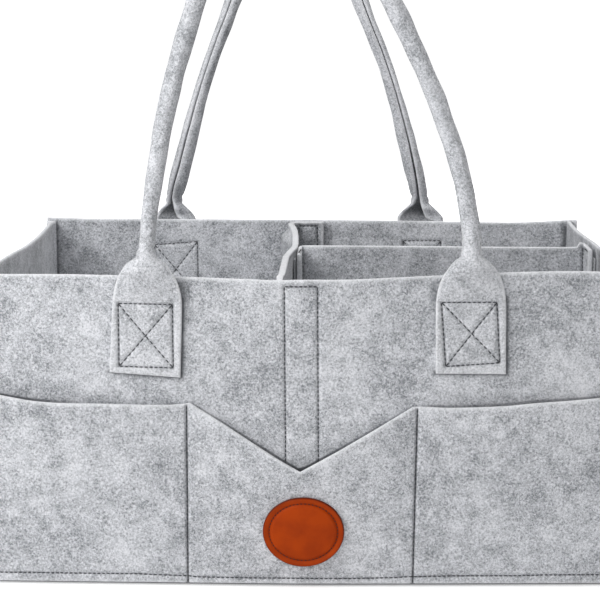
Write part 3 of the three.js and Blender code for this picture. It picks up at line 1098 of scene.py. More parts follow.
@dataclass
class Handle:
    """A handle: one felt strip, flat and sewn at both ends and rolled to a tube between them.

    The strip is followed from the foot of its left end, over the arch, to the foot of its right end.

    Attributes:
        name: Name of the handle.
        side: The wall that it is sewn to.
        spacing: Distance between its two ends.
        shift: How far its middle lies to the right of the bag's middle.
        rise: Height of the arch over the necks.
        hollow: How dark the painted shade inside its necks is, from 0 to 1.
        leg_in: How far in from the neck the point lies that draws the start of a leg.
        leg_up: How far up it lies, as a share of the rise.
        top_radius: Radius of the arch's round top.
        top_shift: How far the top leans to the right.
        drifts: How far the left and the right leg wander to the right, against the height over the necks.
        feet: For each end, the height of its lower edge at its left and its right.
        splay: For each end, how far its lower left and lower right corner lie to the right of straight below.
        boxes: For each end, the corners of its sewn box, as places from the end's middle and heights.
        shape: How the strip is rolled.
        neck: Height at which the arch starts.
        lean: How far a leg leans in where the arch's round top starts.
    """

    name: str
    side: Side
    spacing: float
    shift: float
    rise: float
    top_radius: float
    top_shift: float
    feet: tuple[Spot, Spot]
    splay: tuple[Spot, Spot]
    boxes: tuple[tuple[Spot, ...], tuple[Spot, ...]]
    shape: StripShape
    neck: float = 205.0
    lean: float = math.radians(22)
    drifts: tuple[Knots, Knots] = (((0, 0.0), (200, 0.0)), ((0, 0.0), (200, 0.0)))
    hollow: float = 0.0
    leg_in: float = 0.0
    leg_up: float = 0.22

    def __post_init__(self) -> None:
        """Works out the arch's middle line."""
        self.wall = WALLS[self.side]
        self.ends = (self.shift - self.spacing / 2, self.shift + self.spacing / 2)
        self.arch = self._arch_points()
        self.lengths = [0.0]
        for a, b in zip(self.arch, self.arch[1:]):
            self.lengths.append(self.lengths[-1] + (b - a).length)
        self.foot = min(min(pair) for pair in self.feet)
        self.length = 2 * self.neck + self.lengths[-1]
        self.seams = [*self.end_seams(0), *self.end_seams(1)]

    def _arch_points(self) -> list[Vector]:
        """Works out the arch's middle line in the plane of the wall.

        Returns:
            Points on it, from neck to neck.
        """
        centre = Vector((0, self.rise - self.top_radius))
        turns = [blend_between(self.lean, math.pi / 2, k / 20) for k in range(21)]
        top = [centre + Vector((math.cos(angle), math.sin(angle))) * self.top_radius for angle in turns]
        down = Vector((math.sin(self.lean), -math.cos(self.lean)))
        start = Vector((self.spacing / 2, 0))
        pull = Vector((self.spacing / 2 - self.leg_in, self.rise * self.leg_up))
        half = bezier((start, pull, top[0] + down * self.rise * 0.35, top[0]), 40) + top[1:]
        path = [Vector((-p.x, p.y)) for p in half] + [p.copy() for p in reversed(half[:-1])]
        drifted = [p.x + smooth_curve(self.drifts[0 if p.x < 0 else 1], p.y) for p in path]
        aside = [self.shift + self.top_shift * (p.y / self.rise) ** 2 for p in path]
        return [Vector((x + more, self.neck + p.y)) for x, more, p in zip(drifted, aside, path)]

    def middle(self, way: float) -> tuple[Vector, Vector]:
        """The strip's middle line in the plane of the wall.

        Args:
            way: Length along the strip, which equals the height on the left end.

        Returns:
            The point as (along, z), and the direction in which the strip runs there.
        """
        if way <= self.neck:
            return Vector((self.ends[0], way)), Vector((0, 1))
        if way >= self.length - self.neck:
            return Vector((self.ends[1], self.length - way)), Vector((0, -1))
        run = way - self.neck
        k = next(i for i in range(len(self.arch) - 1) if run <= self.lengths[i + 1] or i == len(self.arch) - 2)
        share = (run - self.lengths[k]) / (self.lengths[k + 1] - self.lengths[k])
        here = self.arch[k].lerp(self.arch[k + 1], share)
        before, after = self.arch[max(k - 1, 0)], self.arch[min(k + 2, len(self.arch) - 1)]
        near, far = self.arch[k + 1] - before, after - self.arch[k]
        run_direction = near.normalized().lerp(far.normalized(), share).normalized()
        blend_in = ease(0.0, 12.0, min(run, self.lengths[-1] - run))
        upright = Vector((0, 1 if way < self.length / 2 else -1))
        return here, upright.lerp(run_direction, blend_in).normalized()

    def climb(self, way: float) -> float:
        """Length along the strip from its nearer end, as a height on the wall."""
        return min(way, self.length - way)

    def width(self, way: float) -> float:
        """Width of the strip before it is rolled."""
        return smooth_curve(self.shape.width, self.climb(way))

    def unevenness(self, way: float, angle: float) -> float:
        """How far the rolled felt wanders in and out, with the creases of its neck.

        Args:
            way: Length along the strip.
            angle: Angle round the roll.

        Returns:
            The distance.
        """
        climb = self.climb(way)
        spot = Vector((way / 17.0, math.sin(angle) * 1.1, math.cos(angle) * 1.1 + len(self.name)))
        wander = 0.75 * noise.noise(spot) * ease(180.0, 200.0, climb)
        creases = sum(0.7 * math.exp(-(((climb - z) / 1.1) ** 2)) for z in (201.2, 206.6))
        return wander - creases * math.sin(angle) ** 4

    def place(self, way: float, across: float, depth: float) -> Vector:
        """A point of the strip.

        Args:
            way: Length along the strip.
            across: Share of its width, from -0.5 to 0.5, where positive is towards the inside of the arch.
            depth: Depth from its inside face.

        Returns:
            The point.
        """
        shape, climb = self.shape, self.climb(way)
        leg = 0 if way < self.length / 2 else 1
        curl = max(smooth_curve(shape.curl, climb), 0.0)
        half = smooth_curve(shape.half, climb) + smooth_curve(shape.trims[leg], climb)
        from_middle = depth - SIZES.felt / 2
        sideways, inward, deepest, across_way, out_way = across * 2 * half, 0.0, 0.0, 0.0, 1.0
        if curl > 0.01:
            turn = smooth_curve(shape.turns[leg], climb)
            wide = half / math.sin(min(curl, math.pi) / 2)
            deep = wide * smooth_curve(shape.squeeze, climb)
            first, last, angle = turn - curl / 2, turn + curl / 2, turn + across * curl
            reach = (
                -wide if first < -math.pi / 2 else wide * math.sin(first),
                wide if last > math.pi / 2 else wide * math.sin(last)
            )
            sideways = wide * math.sin(angle) - sum(reach) / 2
            inward = deep * (1 - math.cos(angle))
            deepest = deep * (1 - math.cos(min(max(-first, last), math.pi)))
            normal = Vector((deep * math.sin(angle), wide * math.cos(angle))).normalized()
            across_way, out_way = normal
            from_middle += self.unevenness(way, angle)
        sideways += from_middle * across_way
        stand = blend_between(deepest + 0.1, smooth_curve(shape.stand, climb), ease(186.5, 193.5, climb))
        out = stand - inward + from_middle * out_way
        middle, run = self.middle(way)
        spot = middle + Vector((run.y, -run.x)) * sideways
        if climb < SPLAY_TOP:
            left, right = self.splay[leg]
            share = across + 0.5 if leg == 0 else 0.5 - across
            spot.x += blend_between(left, right, share) * (SPLAY_TOP - climb) / (SPLAY_TOP - self.foot)
        hug = 1.0 - ease(189, 205, climb)
        carry = self.wall.bow(blend_between(middle.x, spot.x, hug), min(middle.y, self.neck))
        seat = SIZES.panel_inner + SIZES.felt + SIZES.seat + SIZES.felt / 2
        return self.wall.point(spot.x, seat + carry + out, spot.y)

    def end_seams(self, which: int) -> list[Seam]:
        """The sewn box of one end, in lengths along the strip and places across it."""
        turned = [(z, x) if which == 0 else (self.length - z, -x) for x, z in self.boxes[which]]
        return box_seam(turned)

    def slanted(self, way: float, share: float) -> float:
        """Length along the strip with the slanted foot allowed for.

        Args:
            way: Length along a strip with straight feet.
            share: Share of the width.

        Returns:
            The real length.
        """
        climb = self.climb(way)
        if climb > SLANT_TOP:
            return way
        which = 0 if way < self.length / 2 else 1
        left, right = self.feet[which]
        low = blend_between(left, right, share + 0.5 if which == 0 else 0.5 - share)
        moved = low + (climb - self.foot) * (SLANT_TOP - low) / (SLANT_TOP - self.foot)
        return moved if which == 0 else self.length - moved

    def edge(self, way: float, share: float) -> float:
        """Distance to the strip's nearest cut edge."""
        return min((0.5 - abs(share)) * self.width(way), self.climb(way) - self.foot)

    def face_depth(self, way: float, share: float, face: Face) -> float:
        """Depth of a face of the strip, from its inside.

        Args:
            way: Length along the strip, without the slant of its foot.
            share: Share of the width.
            face: The face.

        Returns:
            The depth.
        """
        away = self.edge(way, share)
        inset = 0.0
        if away < EDGE_ROUND:
            part = 1.0 - max(away, 0.0) / EDGE_ROUND
            inset = EDGE_ROUND * (1.0 - math.sqrt(max(0.0, 1.0 - part * part)))
        if self.climb(way) < TAB_TOP:
            real = self.slanted(way, share)
            inset += max(seam.press(real, share * self.width(real), face) for seam in self.seams)
        inset = min(inset, SIZES.felt / 2)
        return SIZES.felt - inset if face is Face.OUTER else inset

    def crease_shade(self, way: float, share: float, face: Face) -> float:
        """How dark the fibre is painted: groove shade with some packed fibre at the sewn ends, painted shade inside the
        neck.

        Args:
            way: Length along the strip, without the slant of its foot.
            share: Share of the width.
            face: The face.

        Returns:
            A share from 0 to 1.
        """
        climb = self.climb(way)
        if climb > TAB_TOP:
            deep = math.exp(-(((climb - 196.5) / 7.5) ** 2)) * clamp(1.2 - 2.2 * abs(share))
            return self.hollow * deep if face is Face.INNER else 0.0
        real = self.slanted(way, share)
        return max(seam.darken(real, share * self.width(real), face) for seam in self.seams)

    def pale_edge_and_highlight(self, way: float, share: float) -> float:
        """How much paler the fibre is painted: looser fibre with a painted highlight along the cut edges, most at the
        shoulders; a painted highlight on the border round the sewn box; and a little paler all over on the front
        handle.

        Args:
            way: Length along the strip, without the slant of its foot.
            share: Share of the width.

        Returns:
            A share from 0 to 1.
        """
        climb, away = self.climb(way), self.edge(way, share)
        shoulder = ease(174.0, 182.0, climb) * (1.0 - ease(200.0, 206.0, climb))
        at_edge = (1.0 - away / CUT_REACH) * (1.0 + 1.5 * shoulder)
        round_box = 0.5 * (1.0 - ease(3.4, 5.6, away)) * (1.0 - ease(170.0, 180.0, climb))
        return clamp(max(at_edge, round_box, 0.14 if self.side is Side.FRONT else 0.0))

    def build(self, finishes: Finishes) -> None:
        """Makes the strip and its stitches.

        Args:
            finishes: All the materials.
        """
        ways = stations(self.foot, TAB_TOP, 0.7)
        ways += [TAB_TOP + k * 1.3 for k in range(1, 30)]
        last, half = ways[-1], self.length / 2
        count = round((half - last) / 3.6)
        ways += [last + (half - last) * k / count for k in range(1, count + 1)]
        ways += [self.length - way for way in reversed(ways[:-1])]
        edges = (0.0, 0.006, 0.016, 0.032, 0.055)
        across = [-0.5 + e for e in edges] + [-0.5 + 0.055 + 0.89 * k / 54 for k in range(1, 54)]
        across += [0.5 - e for e in reversed(edges)]
        points, cut, crease_and_shade = [], [], []
        for face in Face:
            for way in ways:
                for share in across:
                    points.append(self.place(self.slanted(way, share), share, self.face_depth(way, share, face)))
                    cut.append(self.pale_edge_and_highlight(way, share))
                    crease_and_shade.append(self.crease_shade(way, share, face))
        piece = mesh_object(f"{self.name}_strip", points, two_faced_grid(len(across), len(ways)), cut, crease_and_shade)
        piece.data.materials.append(finishes.felt)
        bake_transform(piece)
        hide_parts(f"{self.name}_tab_left", f"{self.name}_tab_right", f"{self.name}_grip")
        log.info("%s: %d points", piece.name, len(points))

        thread = ThreadWork(f"{self.name}_stitches")
        for seam in self.seams:
            thread.follow(
                seam, lambda way, aside, lift: self.place(way, aside / self.width(way), SIZES.felt - seam.sink + lift)
            )
        thread.build(finishes.thread, "bag")


FRONT_STRIP = StripShape(
    half=(
        (150, 20.7), (172, 20.7), (177, 20.3), (183, 19.1), (190, 16.2), (194, 13.2), (197, 10.4), (200, 6.4),
        (203, 4.9), (207, 4.4), (220, 4.1), (245, 3.95), (290, 4.0), (330, 4.2), (400, 4.2)
    ),
    trims=(((197, 0.0), (203, -0.6), (212, -0.9), (226, -0.9), (242, -0.35), (258, 0.0)), ((200, 0.0), (400, 0.0))),
    curl=(
        (173, 0.0), (176, 0.2), (183, 0.9), (190, 1.6), (194, 2.15), (197, 2.8), (200, 4.4), (203, 5.55), (208, 5.9),
        (400, 5.95)
    ),
    squeeze=((173, 0.5), (183, 0.6), (190, 0.68), (194, 0.72), (197, 0.8), (200, 0.95), (203, 1.0), (400, 1.0)),
    turns=(((199, 0.0), (232, 0.4), (400, 0.4)), ((199, 0.0), (232, 0.4), (400, 0.4))),
    stand=((190, 6.4), (194, 7.8), (198, 7.6), (203, 5.6), (212, 3.4), (235, 1.3), (262, 0.0), (400, 0.0)),
    width=((150, 41.4), (176, 40.9), (190, 39.4), (197, 35.0), (204, 29.5), (212, 27.2), (400, 27.0)),
)
BACK_STRIP = StripShape(
    half=(
        (150, 20.3), (172, 20.3), (180, 18.5), (186, 16.4), (190, 14.5), (194.5, 10.7), (198.9, 6.5), (201, 4.9),
        (204, 4.5), (216, 5.1), (232, 5.2), (250, 4.8), (270, 4.2), (290, 3.7), (325, 3.7), (350, 4.1), (400, 4.1)
    ),
    trims=(
        ((200, 0.0), (400, 0.0)),
        ((180, 0.0), (186, 1.2), (190, 1.7), (194.5, 1.1), (198.9, 0.7), (202, 0.5), (207, 0.0), (400, 0.0))
    ),
    curl=(
        (173, 0.0), (178, 0.4), (184, 1.6), (188, 3.1), (190, 3.9), (193, 4.3), (196, 4.6), (199, 4.95), (203, 5.5),
        (208, 5.9), (225, 6.02), (400, 6.06)
    ),
    squeeze=((173, 0.6), (184, 0.5), (188, 0.36), (190, 0.32), (194, 0.45), (198, 0.8), (201, 1.0), (400, 1.0)),
    turns=(
        (
            (173, 0.0), (184, 0.25), (188, 0.65), (190, 0.85), (196, 0.75), (203, 0.5), (215, 0.42), (235, 0.36),
            (400, 0.36)
        ),
        (
            (173, 0.0), (184, -0.25), (188, -0.6), (190, -0.8), (196, -0.62), (203, -0.35), (215, -0.05), (235, 0.2),
            (260, 0.36), (400, 0.36)
        ),
    ),
    stand=((190, 8.6), (194, 9.2), (198, 8.2), (203, 6.0), (212, 3.6), (235, 1.3), (262, 0.0), (400, 0.0)),
    width=((150, 40.6), (176, 40.2), (190, 42.0), (197, 36.0), (204, 29.0), (230, 28.0), (260, 23.5), (400, 23.0)),
)
FRONT_HANDLE = Handle(
    name="front_handle",
    side=Side.FRONT,
    spacing=190.8,
    shift=4.6,
    rise=200.0,
    top_radius=50.0,
    top_shift=-15.5,
    drifts=(
        (
            (0, 0.2), (20, 0.8), (42, 0.9), (54, 0.2), (65, -0.4), (77, -0.75), (88, -1.2), (111, -1.2), (132, -0.6),
            (145, 0.0), (200, 0.0)
        ),
        ((0, 0.0), (200, 0.0)),
    ),
    feet=((131.1, 128.2), (130.9, 130.1)),
    splay=((-3.2, -1.9), (0.3, 0.6)),
    boxes=(
        ((-17.2, 173.2), (14.9, 172.8), (16.4, 134.2), (-15.2, 134.9)),
        ((-17.3, 174.0), (15.1, 173.7), (17.0, 137.2), (-14.9, 135.2)),
    ),
    shape=FRONT_STRIP,
)
BACK_HANDLE = Handle(
    name="back_handle",
    side=Side.BACK,
    spacing=177.4,
    shift=-10.4,
    rise=193.0,
    top_radius=36.0,
    top_shift=1.6,
    drifts=(
        (
            (0, 0.0), (12, 0.8), (22, 1.3), (34, 1.0), (56, 0.4), (70, -0.4), (84, -0.75), (112, -0.65), (130, 0.0),
            (200, 0.0)
        ),
        (
            (0, 0.0), (27, 0.0), (42, 0.55), (56, 1.0), (70, 1.6), (80, 2.0), (98, 1.8), (112, 1.3), (126, 0.2),
            (140, 0.0), (200, 0.0)
        ),
    ),
    hollow=0.9,
    leg_in=3.7,
    leg_up=0.13,
    feet=((131.6, 131.0), (130.6, 131.4)),
    splay=((0.0, 0.0), (0.0, 0.0)),
    boxes=(
        ((-14.0, 172.0), (17.0, 174.2), (17.4, 135.2), (-13.6, 135.0)),
        ((-11.9, 174.7), (15.0, 174.7), (15.8, 135.4), (-12.3, 134.8)),
    ),
    shape=BACK_STRIP,
)


FRONT_POCKET_LEFT = (
    (-190, 117.2), (-180, 116.0), (-172, 114.8), (-163, 113.5), (-146, 112.5), (-120, 112.5), (-105, 112.1),
    (-90, 111.8), (-78, 111.7), (-72, 112.1), (-66.5, 112.7)
)
FRONT_POCKET_RIGHT = ((66.0, 110.7), (71, 110.9), (88, 110.4), (121, 111.5), (138, 113.0), (171, 114.7), (190, 116.3))
BASE_LINE = (
    (-188, 5.4), (-100, 5.4), (-85, 4.9), (-70, 4.6), (-64, 3.9), (-30, 3.6), (30, 3.5), (52, 3.9), (64, 4.5),
    (90, 5.0), (130, 5.0), (146, 5.4), (188, 5.4)
)
V_CUT = ((-66.5, 112.7), (-45, 99.4), (-12, 78.0), (-1, 71.6), (22, 84.4), (55, 104.1), (66.0, 110.7))
# How dark the painted shadow in the gap behind the pocket band's top edge is, along the front and along the back.
FRONT_GAP = (
    (-190, 0.85), (-160, 0.75), (-148, 0.5), (-135, 0.2), (-110, 0.1), (-91, 0.0), (-68, 0.0), (-64, 0.35), (-45, 0.55),
    (-12, 0.8), (-1, 0.95), (22, 0.75), (55, 0.35), (64, 0.1), (70, 0.1), (80, 0.45), (121, 0.5), (150, 0.55),
    (188, 0.6)
)
BACK_GAP = ((-190, 0.6), (190, 0.6))
BACK_POCKET = ((-190, 116.4), (-160, 113.4), (-66, 113.2), (0, 112.6), (66, 113.2), (160, 113.5), (190, 116.6))


def front_pocket_top(along: float) -> float:
    """Height of the front pockets' edge, with its V cut."""
    beside = FRONT_POCKET_LEFT if along < 0 else FRONT_POCKET_RIGHT
    return polyline(V_CUT, along) if V_CUT[0][0] < along < V_CUT[-1][0] else smooth_curve(beside, along)


def back_pocket_top(along: float) -> float:
    """Height of the back pockets' edge."""
    return smooth_curve(BACK_POCKET, along)


@dataclass(frozen=True)
class PocketMouths:
    """How far each pocket of a band stands off its wall.

    Attributes:
        seams: Places of the upright seams that part the pockets.
        gapes: How far each mouth stands open in its middle.
        top: Height of the band's edge.
    """

    seams: tuple[float, ...]
    gapes: tuple[float, ...]
    top: Callable[[float], float]

    def stand(self, along: float, z: float) -> float:
        """How far the band stands off the wall.

        Args:
            along: Place along the wall.
            z: Height.

        Returns:
            The distance.
        """
        for left, right, gape in zip(self.seams, self.seams[1:], self.gapes):
            if left <= along <= right:
                share = abs(along - (left + right) / 2) / ((right - left) / 2)
                return gape * (1.0 - share**2) * clamp(z / self.top(along)) ** 2
        return 0.0


@dataclass
class Walls(WallPiece):
    """The front and back panels, with the stitches of all that is sewn to them."""

    def _panel(self, side: Side, node: str, handle: Handle) -> None:
        """Makes one panel and its stitches.

        Args:
            side: Its side of the bag.
            node: The CAD node that it stands for.
            handle: The handle that is sewn to it.
        """
        wall = WALLS[side]
        seam, half_strip, edge = SIZES.pocket_seam, TAPE_STITCH, SIZES.pocket_height
        strip_path = ((-half_strip, 62.0), (-half_strip, 183.6), (half_strip, 183.6), (half_strip, 62.0))
        # Seams carry painted groove shade; this one a darker line.
        strip = Seam(strip_path, sink=0.75, crease_shade=0.55)
        covered = (front_pocket_top, edge, FRONT_GAP) if side is Side.FRONT else (back_pocket_top, edge, BACK_GAP)
        ends = (-CORNER_STITCH, CORNER_STITCH)
        corners = [Seam(((x, 4.0), (x, wall.top(x) - CORNER_STRETCH)), sink=0.7, reach=1.3) for x in ends]
        pocket_lines = [Seam(((x, 6.0), (x, 111.0)), (Face.INNER,)) for x in (-seam, seam)]
        boxes: list[Seam] = []
        for end, box in zip(handle.ends, handle.boxes):
            boxes += box_seam([(end + aside, z) for aside, z in box], faces=(Face.INNER,))
        # Painted shade: a dark line round each tab's outline, a painted shadow beside each tab's shoulder, and painted
        # shade in the panel's inside corners.
        contacts: list[Seam] = []
        half = handle.shape.half[0][1] + 0.4
        for end, foot, splay, inward, dark in zip(handle.ends, handle.feet, handle.splay, (half, -half), (0.62, 0.5)):
            outline = ((end + half, 176.0), (end + half + splay[1], foot[1]), (end - half + splay[0], foot[0]))
            top, side_edge, lower = (end + inward, 184.0), (end + inward, 176.0), (end + inward * 0.97, 161.0)
            contacts += [
                contact(outline, 0.85, 1.3),
                contact((top, side_edge), dark, 7.0 * dark),
                contact((side_edge, lower), 0.65 * dark, 4.8 * dark),
            ]
        left_corner, right_corner = -SIZES.side_inner - 0.4, SIZES.side_inner - 0.3
        contacts += [
            contact(((left_corner, 0.0), (left_corner, 189.0)), 0.6, 1.2, Face.INNER),
            contact(((right_corner - 2.2, 150.0), (right_corner, 185.0)), 0.75, 1.9, Face.INNER),
        ]
        box_lines = [end + aside for end in handle.ends for aside in range(-25, 26)]
        edge_lines = [edge + away for away in (-3.0, -1.0, 0.0, 0.3, 0.6, 1.0, 1.5, 2.2, 3.2, 5.0, 8.0)]
        rim_lines = [181 + k * 0.6 for k in range(1, 12)]
        sheet = Sheet(
            name=f"{node}_felt",
            place=self.on_wall(wall, SIZES.panel_inner),
            along=stations(
                -HALF_WIDTH, HALF_WIDTH, 4.0, near=(*ends, -seam, -half_strip, half_strip, seam),
                exact=[*box_lines, -183.5, -182.5, -181.5, 181.5, 182.5, 183.5]
            ),
            up=stations(0.0, SIZES.wall_height, 4.0, exact=[*edge_lines, *range(126, 181), *rim_lines]),
            full=SIZES.wall_height,
            top=wall.top,
            seams=[strip, *corners, *pocket_lines, *boxes],
            covered=covered,
            contacts=contacts,
        )
        self.sew_up(sheet, node)

    def build(self) -> None:
        """Makes both panels."""
        self._panel(Side.FRONT, "front_panel", FRONT_HANDLE)
        self._panel(Side.BACK, "back_panel", BACK_HANDLE)


@dataclass
class PocketBands(WallPiece):
    """The four bands of outside pockets."""

    front: PocketMouths = PocketMouths(POCKET_SEAMS, (4.2, 3.6, 4.4), front_pocket_top)
    back: PocketMouths = PocketMouths(POCKET_SEAMS, (5.0, 6.0, 4.6), back_pocket_top)
    side: PocketMouths = PocketMouths((-SIDE_POCKET, SIDE_POCKET), (8.0,), lambda along: SIZES.pocket_height)

    def _long_band(self, side: Side, node: str, mouths: PocketMouths, exact: Sequence[float]) -> Sheet:
        """Makes the band of the front or the back.

        Args:
            side: Its side of the bag.
            node: The CAD node that it stands for.
            mouths: How its pockets stand open.
            exact: Places that must have a grid line of their own.

        Returns:
            The band, to be sewn.
        """
        seam = SIZES.pocket_seam
        lines = (-CORNER_STITCH, -seam, seam, CORNER_STITCH)
        ways = ((-seam - 1.7, -seam - 0.7), (seam - 1.3, seam + 0.9))
        paths = [((low, 0.0), (high, mouths.top(high) - CORNER_STRETCH)) for low, high in ways]
        # The upright seams carry a dark painted groove shade, the base seam a light one.
        upright = [Seam(path, sink=1.7, reach=0.95, crease_shade=0.85, fine=0.55) for path in paths]
        exact = [*exact, *(x + k * 0.3 for x in (-seam - 1.2, seam - 0.2) for k in range(-6, 7))]
        corners = [
            Seam(((x, 2.5), (x, mouths.top(x) - CORNER_STRETCH)), sink=0.8, reach=1.4) for x in (lines[0], lines[3])
        ]
        base = Seam(BASE_LINE, sink=0.8, reach=1.1, crease_shade=0.28, fine=0.5)
        sheet = Sheet(
            name=f"{node}_felt",
            place=self.on_wall(WALLS[side], SIZES.band_inner, mouths.stand),
            along=stations(-HALF_WIDTH, HALF_WIDTH, 4.0, near=lines, exact=exact),
            up=stations(0.0, SIZES.pocket_height, 4.0, near=(BASE_STITCH,), exact=[2.4 + k * 0.4 for k in range(10)]),
            full=SIZES.pocket_height,
            top=mouths.top,
            seams=[*upright, *corners, base],
        )
        dress(sheet.build(), self.finishes.felt, "bag", "felt", [node])
        return sheet

    def _side_band(self, side: Side, node: str) -> Sheet:
        """Makes the band of a side wall.

        Args:
            side: Its side of the bag.
            node: The CAD node that it stands for.

        Returns:
            The band, to be sewn.
        """
        end = SIDE_POCKET
        ends = [Seam(((x, 2.5), (x, SIZES.pocket_height - 2)), sink=0.7) for x in (-end + 3.2, end - 3.2)]
        base = Seam(((-end + 1, BASE_STITCH), (end - 1, BASE_STITCH)), sink=0.8, reach=1.3)
        sheet = Sheet(
            name=f"{node}_felt",
            place=self.on_wall(WALLS[side], SIZES.side_inner + SIZES.felt + SIZES.seat, self.side.stand),
            along=stations(-end, end, 4.0, near=(-end + 3.2, end - 3.2)),
            up=stations(0.0, SIZES.pocket_height, 4.0, near=(BASE_STITCH,)),
            full=SIZES.pocket_height,
            top=self.side.top,
            seams=[*ends, base],
        )
        dress(sheet.build(), self.finishes.felt, "bag", "felt", [node])
        return sheet

    def build(self) -> None:
        """Makes the bands and their stitches."""
        points = [along for along, _ in V_CUT]
        sheets = [
            self._long_band(Side.FRONT, "front_pocket_band", self.front, points),
            self._long_band(Side.BACK, "back_pocket_band", self.back, ()),
            self._side_band(Side.LEFT, "left_pocket_band"),
            self._side_band(Side.RIGHT, "right_pocket_band"),
        ]
        thread = ThreadWork("pocket_stitches")
        for sheet in sheets:
            thread.sew(sheet)
        thread.build(self.finishes.thread, "bag")


@dataclass
class BentSheet:
    """A sheet that stands upright and bends at its folds.

    Attributes:
        path: Its middle line in plan at a height, as points.
        fold: Radius of the folds, or 0 for a path that is round already.
        turn: 1 if the outer face lies to the left of the path, -1 if to the right.
        thickness: Thickness of the sheet.
        cache: The rounded paths that are worked out already, by height.
    """

    path: Callable[[float], list[Vector]]
    fold: float
    turn: float = 1.0
    thickness: float = SIZES.felt
    cache: dict[float, tuple[list[Vector], list[Vector]]] = field(default_factory=dict)

    def __post_init__(self) -> None:
        """Measures the path at half height."""
        points, _ = self.lines(95.0)
        self.marks = [0.0]
        for a, b in zip(points, points[1:]):
            self.marks.append(self.marks[-1] + (b - a).length)

    @property
    def length(self) -> float:
        """Length of the sheet along its path."""
        return self.marks[-1]

    def lines(self, z: float) -> tuple[list[Vector], list[Vector]]:
        """The rounded path at a height.

        Args:
            z: The height.

        Returns:
            Its points, and the direction across it at each.
        """
        key = round(z, 2)
        if key not in self.cache:
            corners = self.path(z)
            points = [corners[0]]
            for before, here, after in zip(corners, corners[1:], corners[2:]):
                into, away = (here - before).normalized(), (after - here).normalized()
                if self.fold == 0.0 or into.dot(away) > 0.9:
                    points.append(here)
                    continue
                start, end = here - into * self.fold, here + away * self.fold
                for k in range(9):
                    t = k / 8
                    points.append(start * (1 - t) ** 2 + here * 2 * t * (1 - t) + end * t * t)
            points.append(corners[-1])
            across = []
            for k in range(len(points)):
                run = (points[min(k + 1, len(points) - 1)] - points[max(k - 1, 0)]).normalized()
                across.append(Vector((-run.y, run.x)) * self.turn)
            self.cache[key] = (points, across)
        return self.cache[key]

    def place(self, along: float, z: float, depth: float) -> Vector:
        """A point of the sheet.

        Args:
            along: Length along its path.
            z: Height.
            depth: Depth from its inside face.

        Returns:
            The point.
        """
        points, across = self.lines(z)
        k = next((i for i in range(len(self.marks) - 1) if along <= self.marks[i + 1]), len(self.marks) - 2)
        share = clamp((along - self.marks[k]) / (self.marks[k + 1] - self.marks[k]))
        middle = points[k].lerp(points[k + 1], share)
        outward = across[k].lerp(across[k + 1], share).normalized()
        spot = middle + outward * (depth - self.thickness / 2)
        return Vector((spot.x, spot.y, z))


def crowded(low: float, high: float, step: float, folds: Iterable[float], near: Iterable[float]) -> list[float]:
    """Grid lines with extra ones round the folds of a bent sheet."""
    extra = [fold + away for fold in folds for away in (-6, -4.5, -3, -1.5, 0, 1.5, 3, 4.5, 6)]
    return stations(low, high, step, near=near, exact=extra)


@dataclass
class SideWalls(WallPiece):
    """The left and right panels, with their ends turned out into the corner seams."""

    def _panel(self, side: Side, node: str) -> None:
        """Makes one panel and its stitches.

        Args:
            side: Its side of the bag.
            node: The CAD node that it stands for.
        """
        wall = WALLS[side]
        line, middle_layer = SIZES.seam_inner + SIZES.felt / 2, SIZES.side_inner + SIZES.felt / 2
        places = [-line + 2 * line * k / 24 for k in range(25)]

        def path(z: float) -> list[Vector]:
            """The panel's middle line in plan."""
            main = [wall.point(y, middle_layer + wall.bow(y, z), 0).to_2d() for y in places]
            return [wall.point(-line, HALF_WIDTH, 0).to_2d(), *main, wall.point(line, HALF_WIDTH, 0).to_2d()]

        bent = BentSheet(path, fold=3.0, turn=1.0 if side is Side.LEFT else -1.0)
        far = bent.length
        flange = 3.7
        ends = [Seam(((x, 3.0), (x, 188.0)), (Face.OUTER, Face.INNER), sink=0.5) for x in (flange, far - flange)]
        base = Seam(((9.0, BASE_STITCH), (far - 9.0, BASE_STITCH)), (Face.OUTER,))
        seams = [*ends, base]
        lines = [flange, far - flange]
        shaded: list[Seam] = []
        if side is Side.RIGHT:
            # Painted shade on the inner face, between the long divider's turned end and the front wall.
            corner = far / 2 + SIZES.long_divider_y - SIZES.flange_width - 16.0
            shaded.append(contact(((corner, 20.0), (corner, 188.0)), 0.55, 13.0, Face.INNER))
            left, right = (far / 2 + SIZES.cross_tape_y + away for away in (-TAPE_STITCH, TAPE_STITCH))
            seams.append(Seam(((left, 114.0), (left, 182.2), (right, 182.2), (right, 114.0)), sink=0.5))
            lines += [left, right]
        sheet = Sheet(
            name=f"{node}_felt",
            place=bent.place,
            along=crowded(0.0, far, 4.0, (6.0, far - 6.0), lines),
            up=stations(0.0, SIZES.wall_height, 4.0, near=(BASE_STITCH,)),
            full=SIZES.wall_height,
            top=lambda along: 190.2,
            seams=seams,
            contacts=shaded,
        )
        self.sew_up(sheet, node)

    def build(self) -> None:
        """Makes both side panels."""
        self._panel(Side.LEFT, "left_panel")
        self._panel(Side.RIGHT, "right_panel")


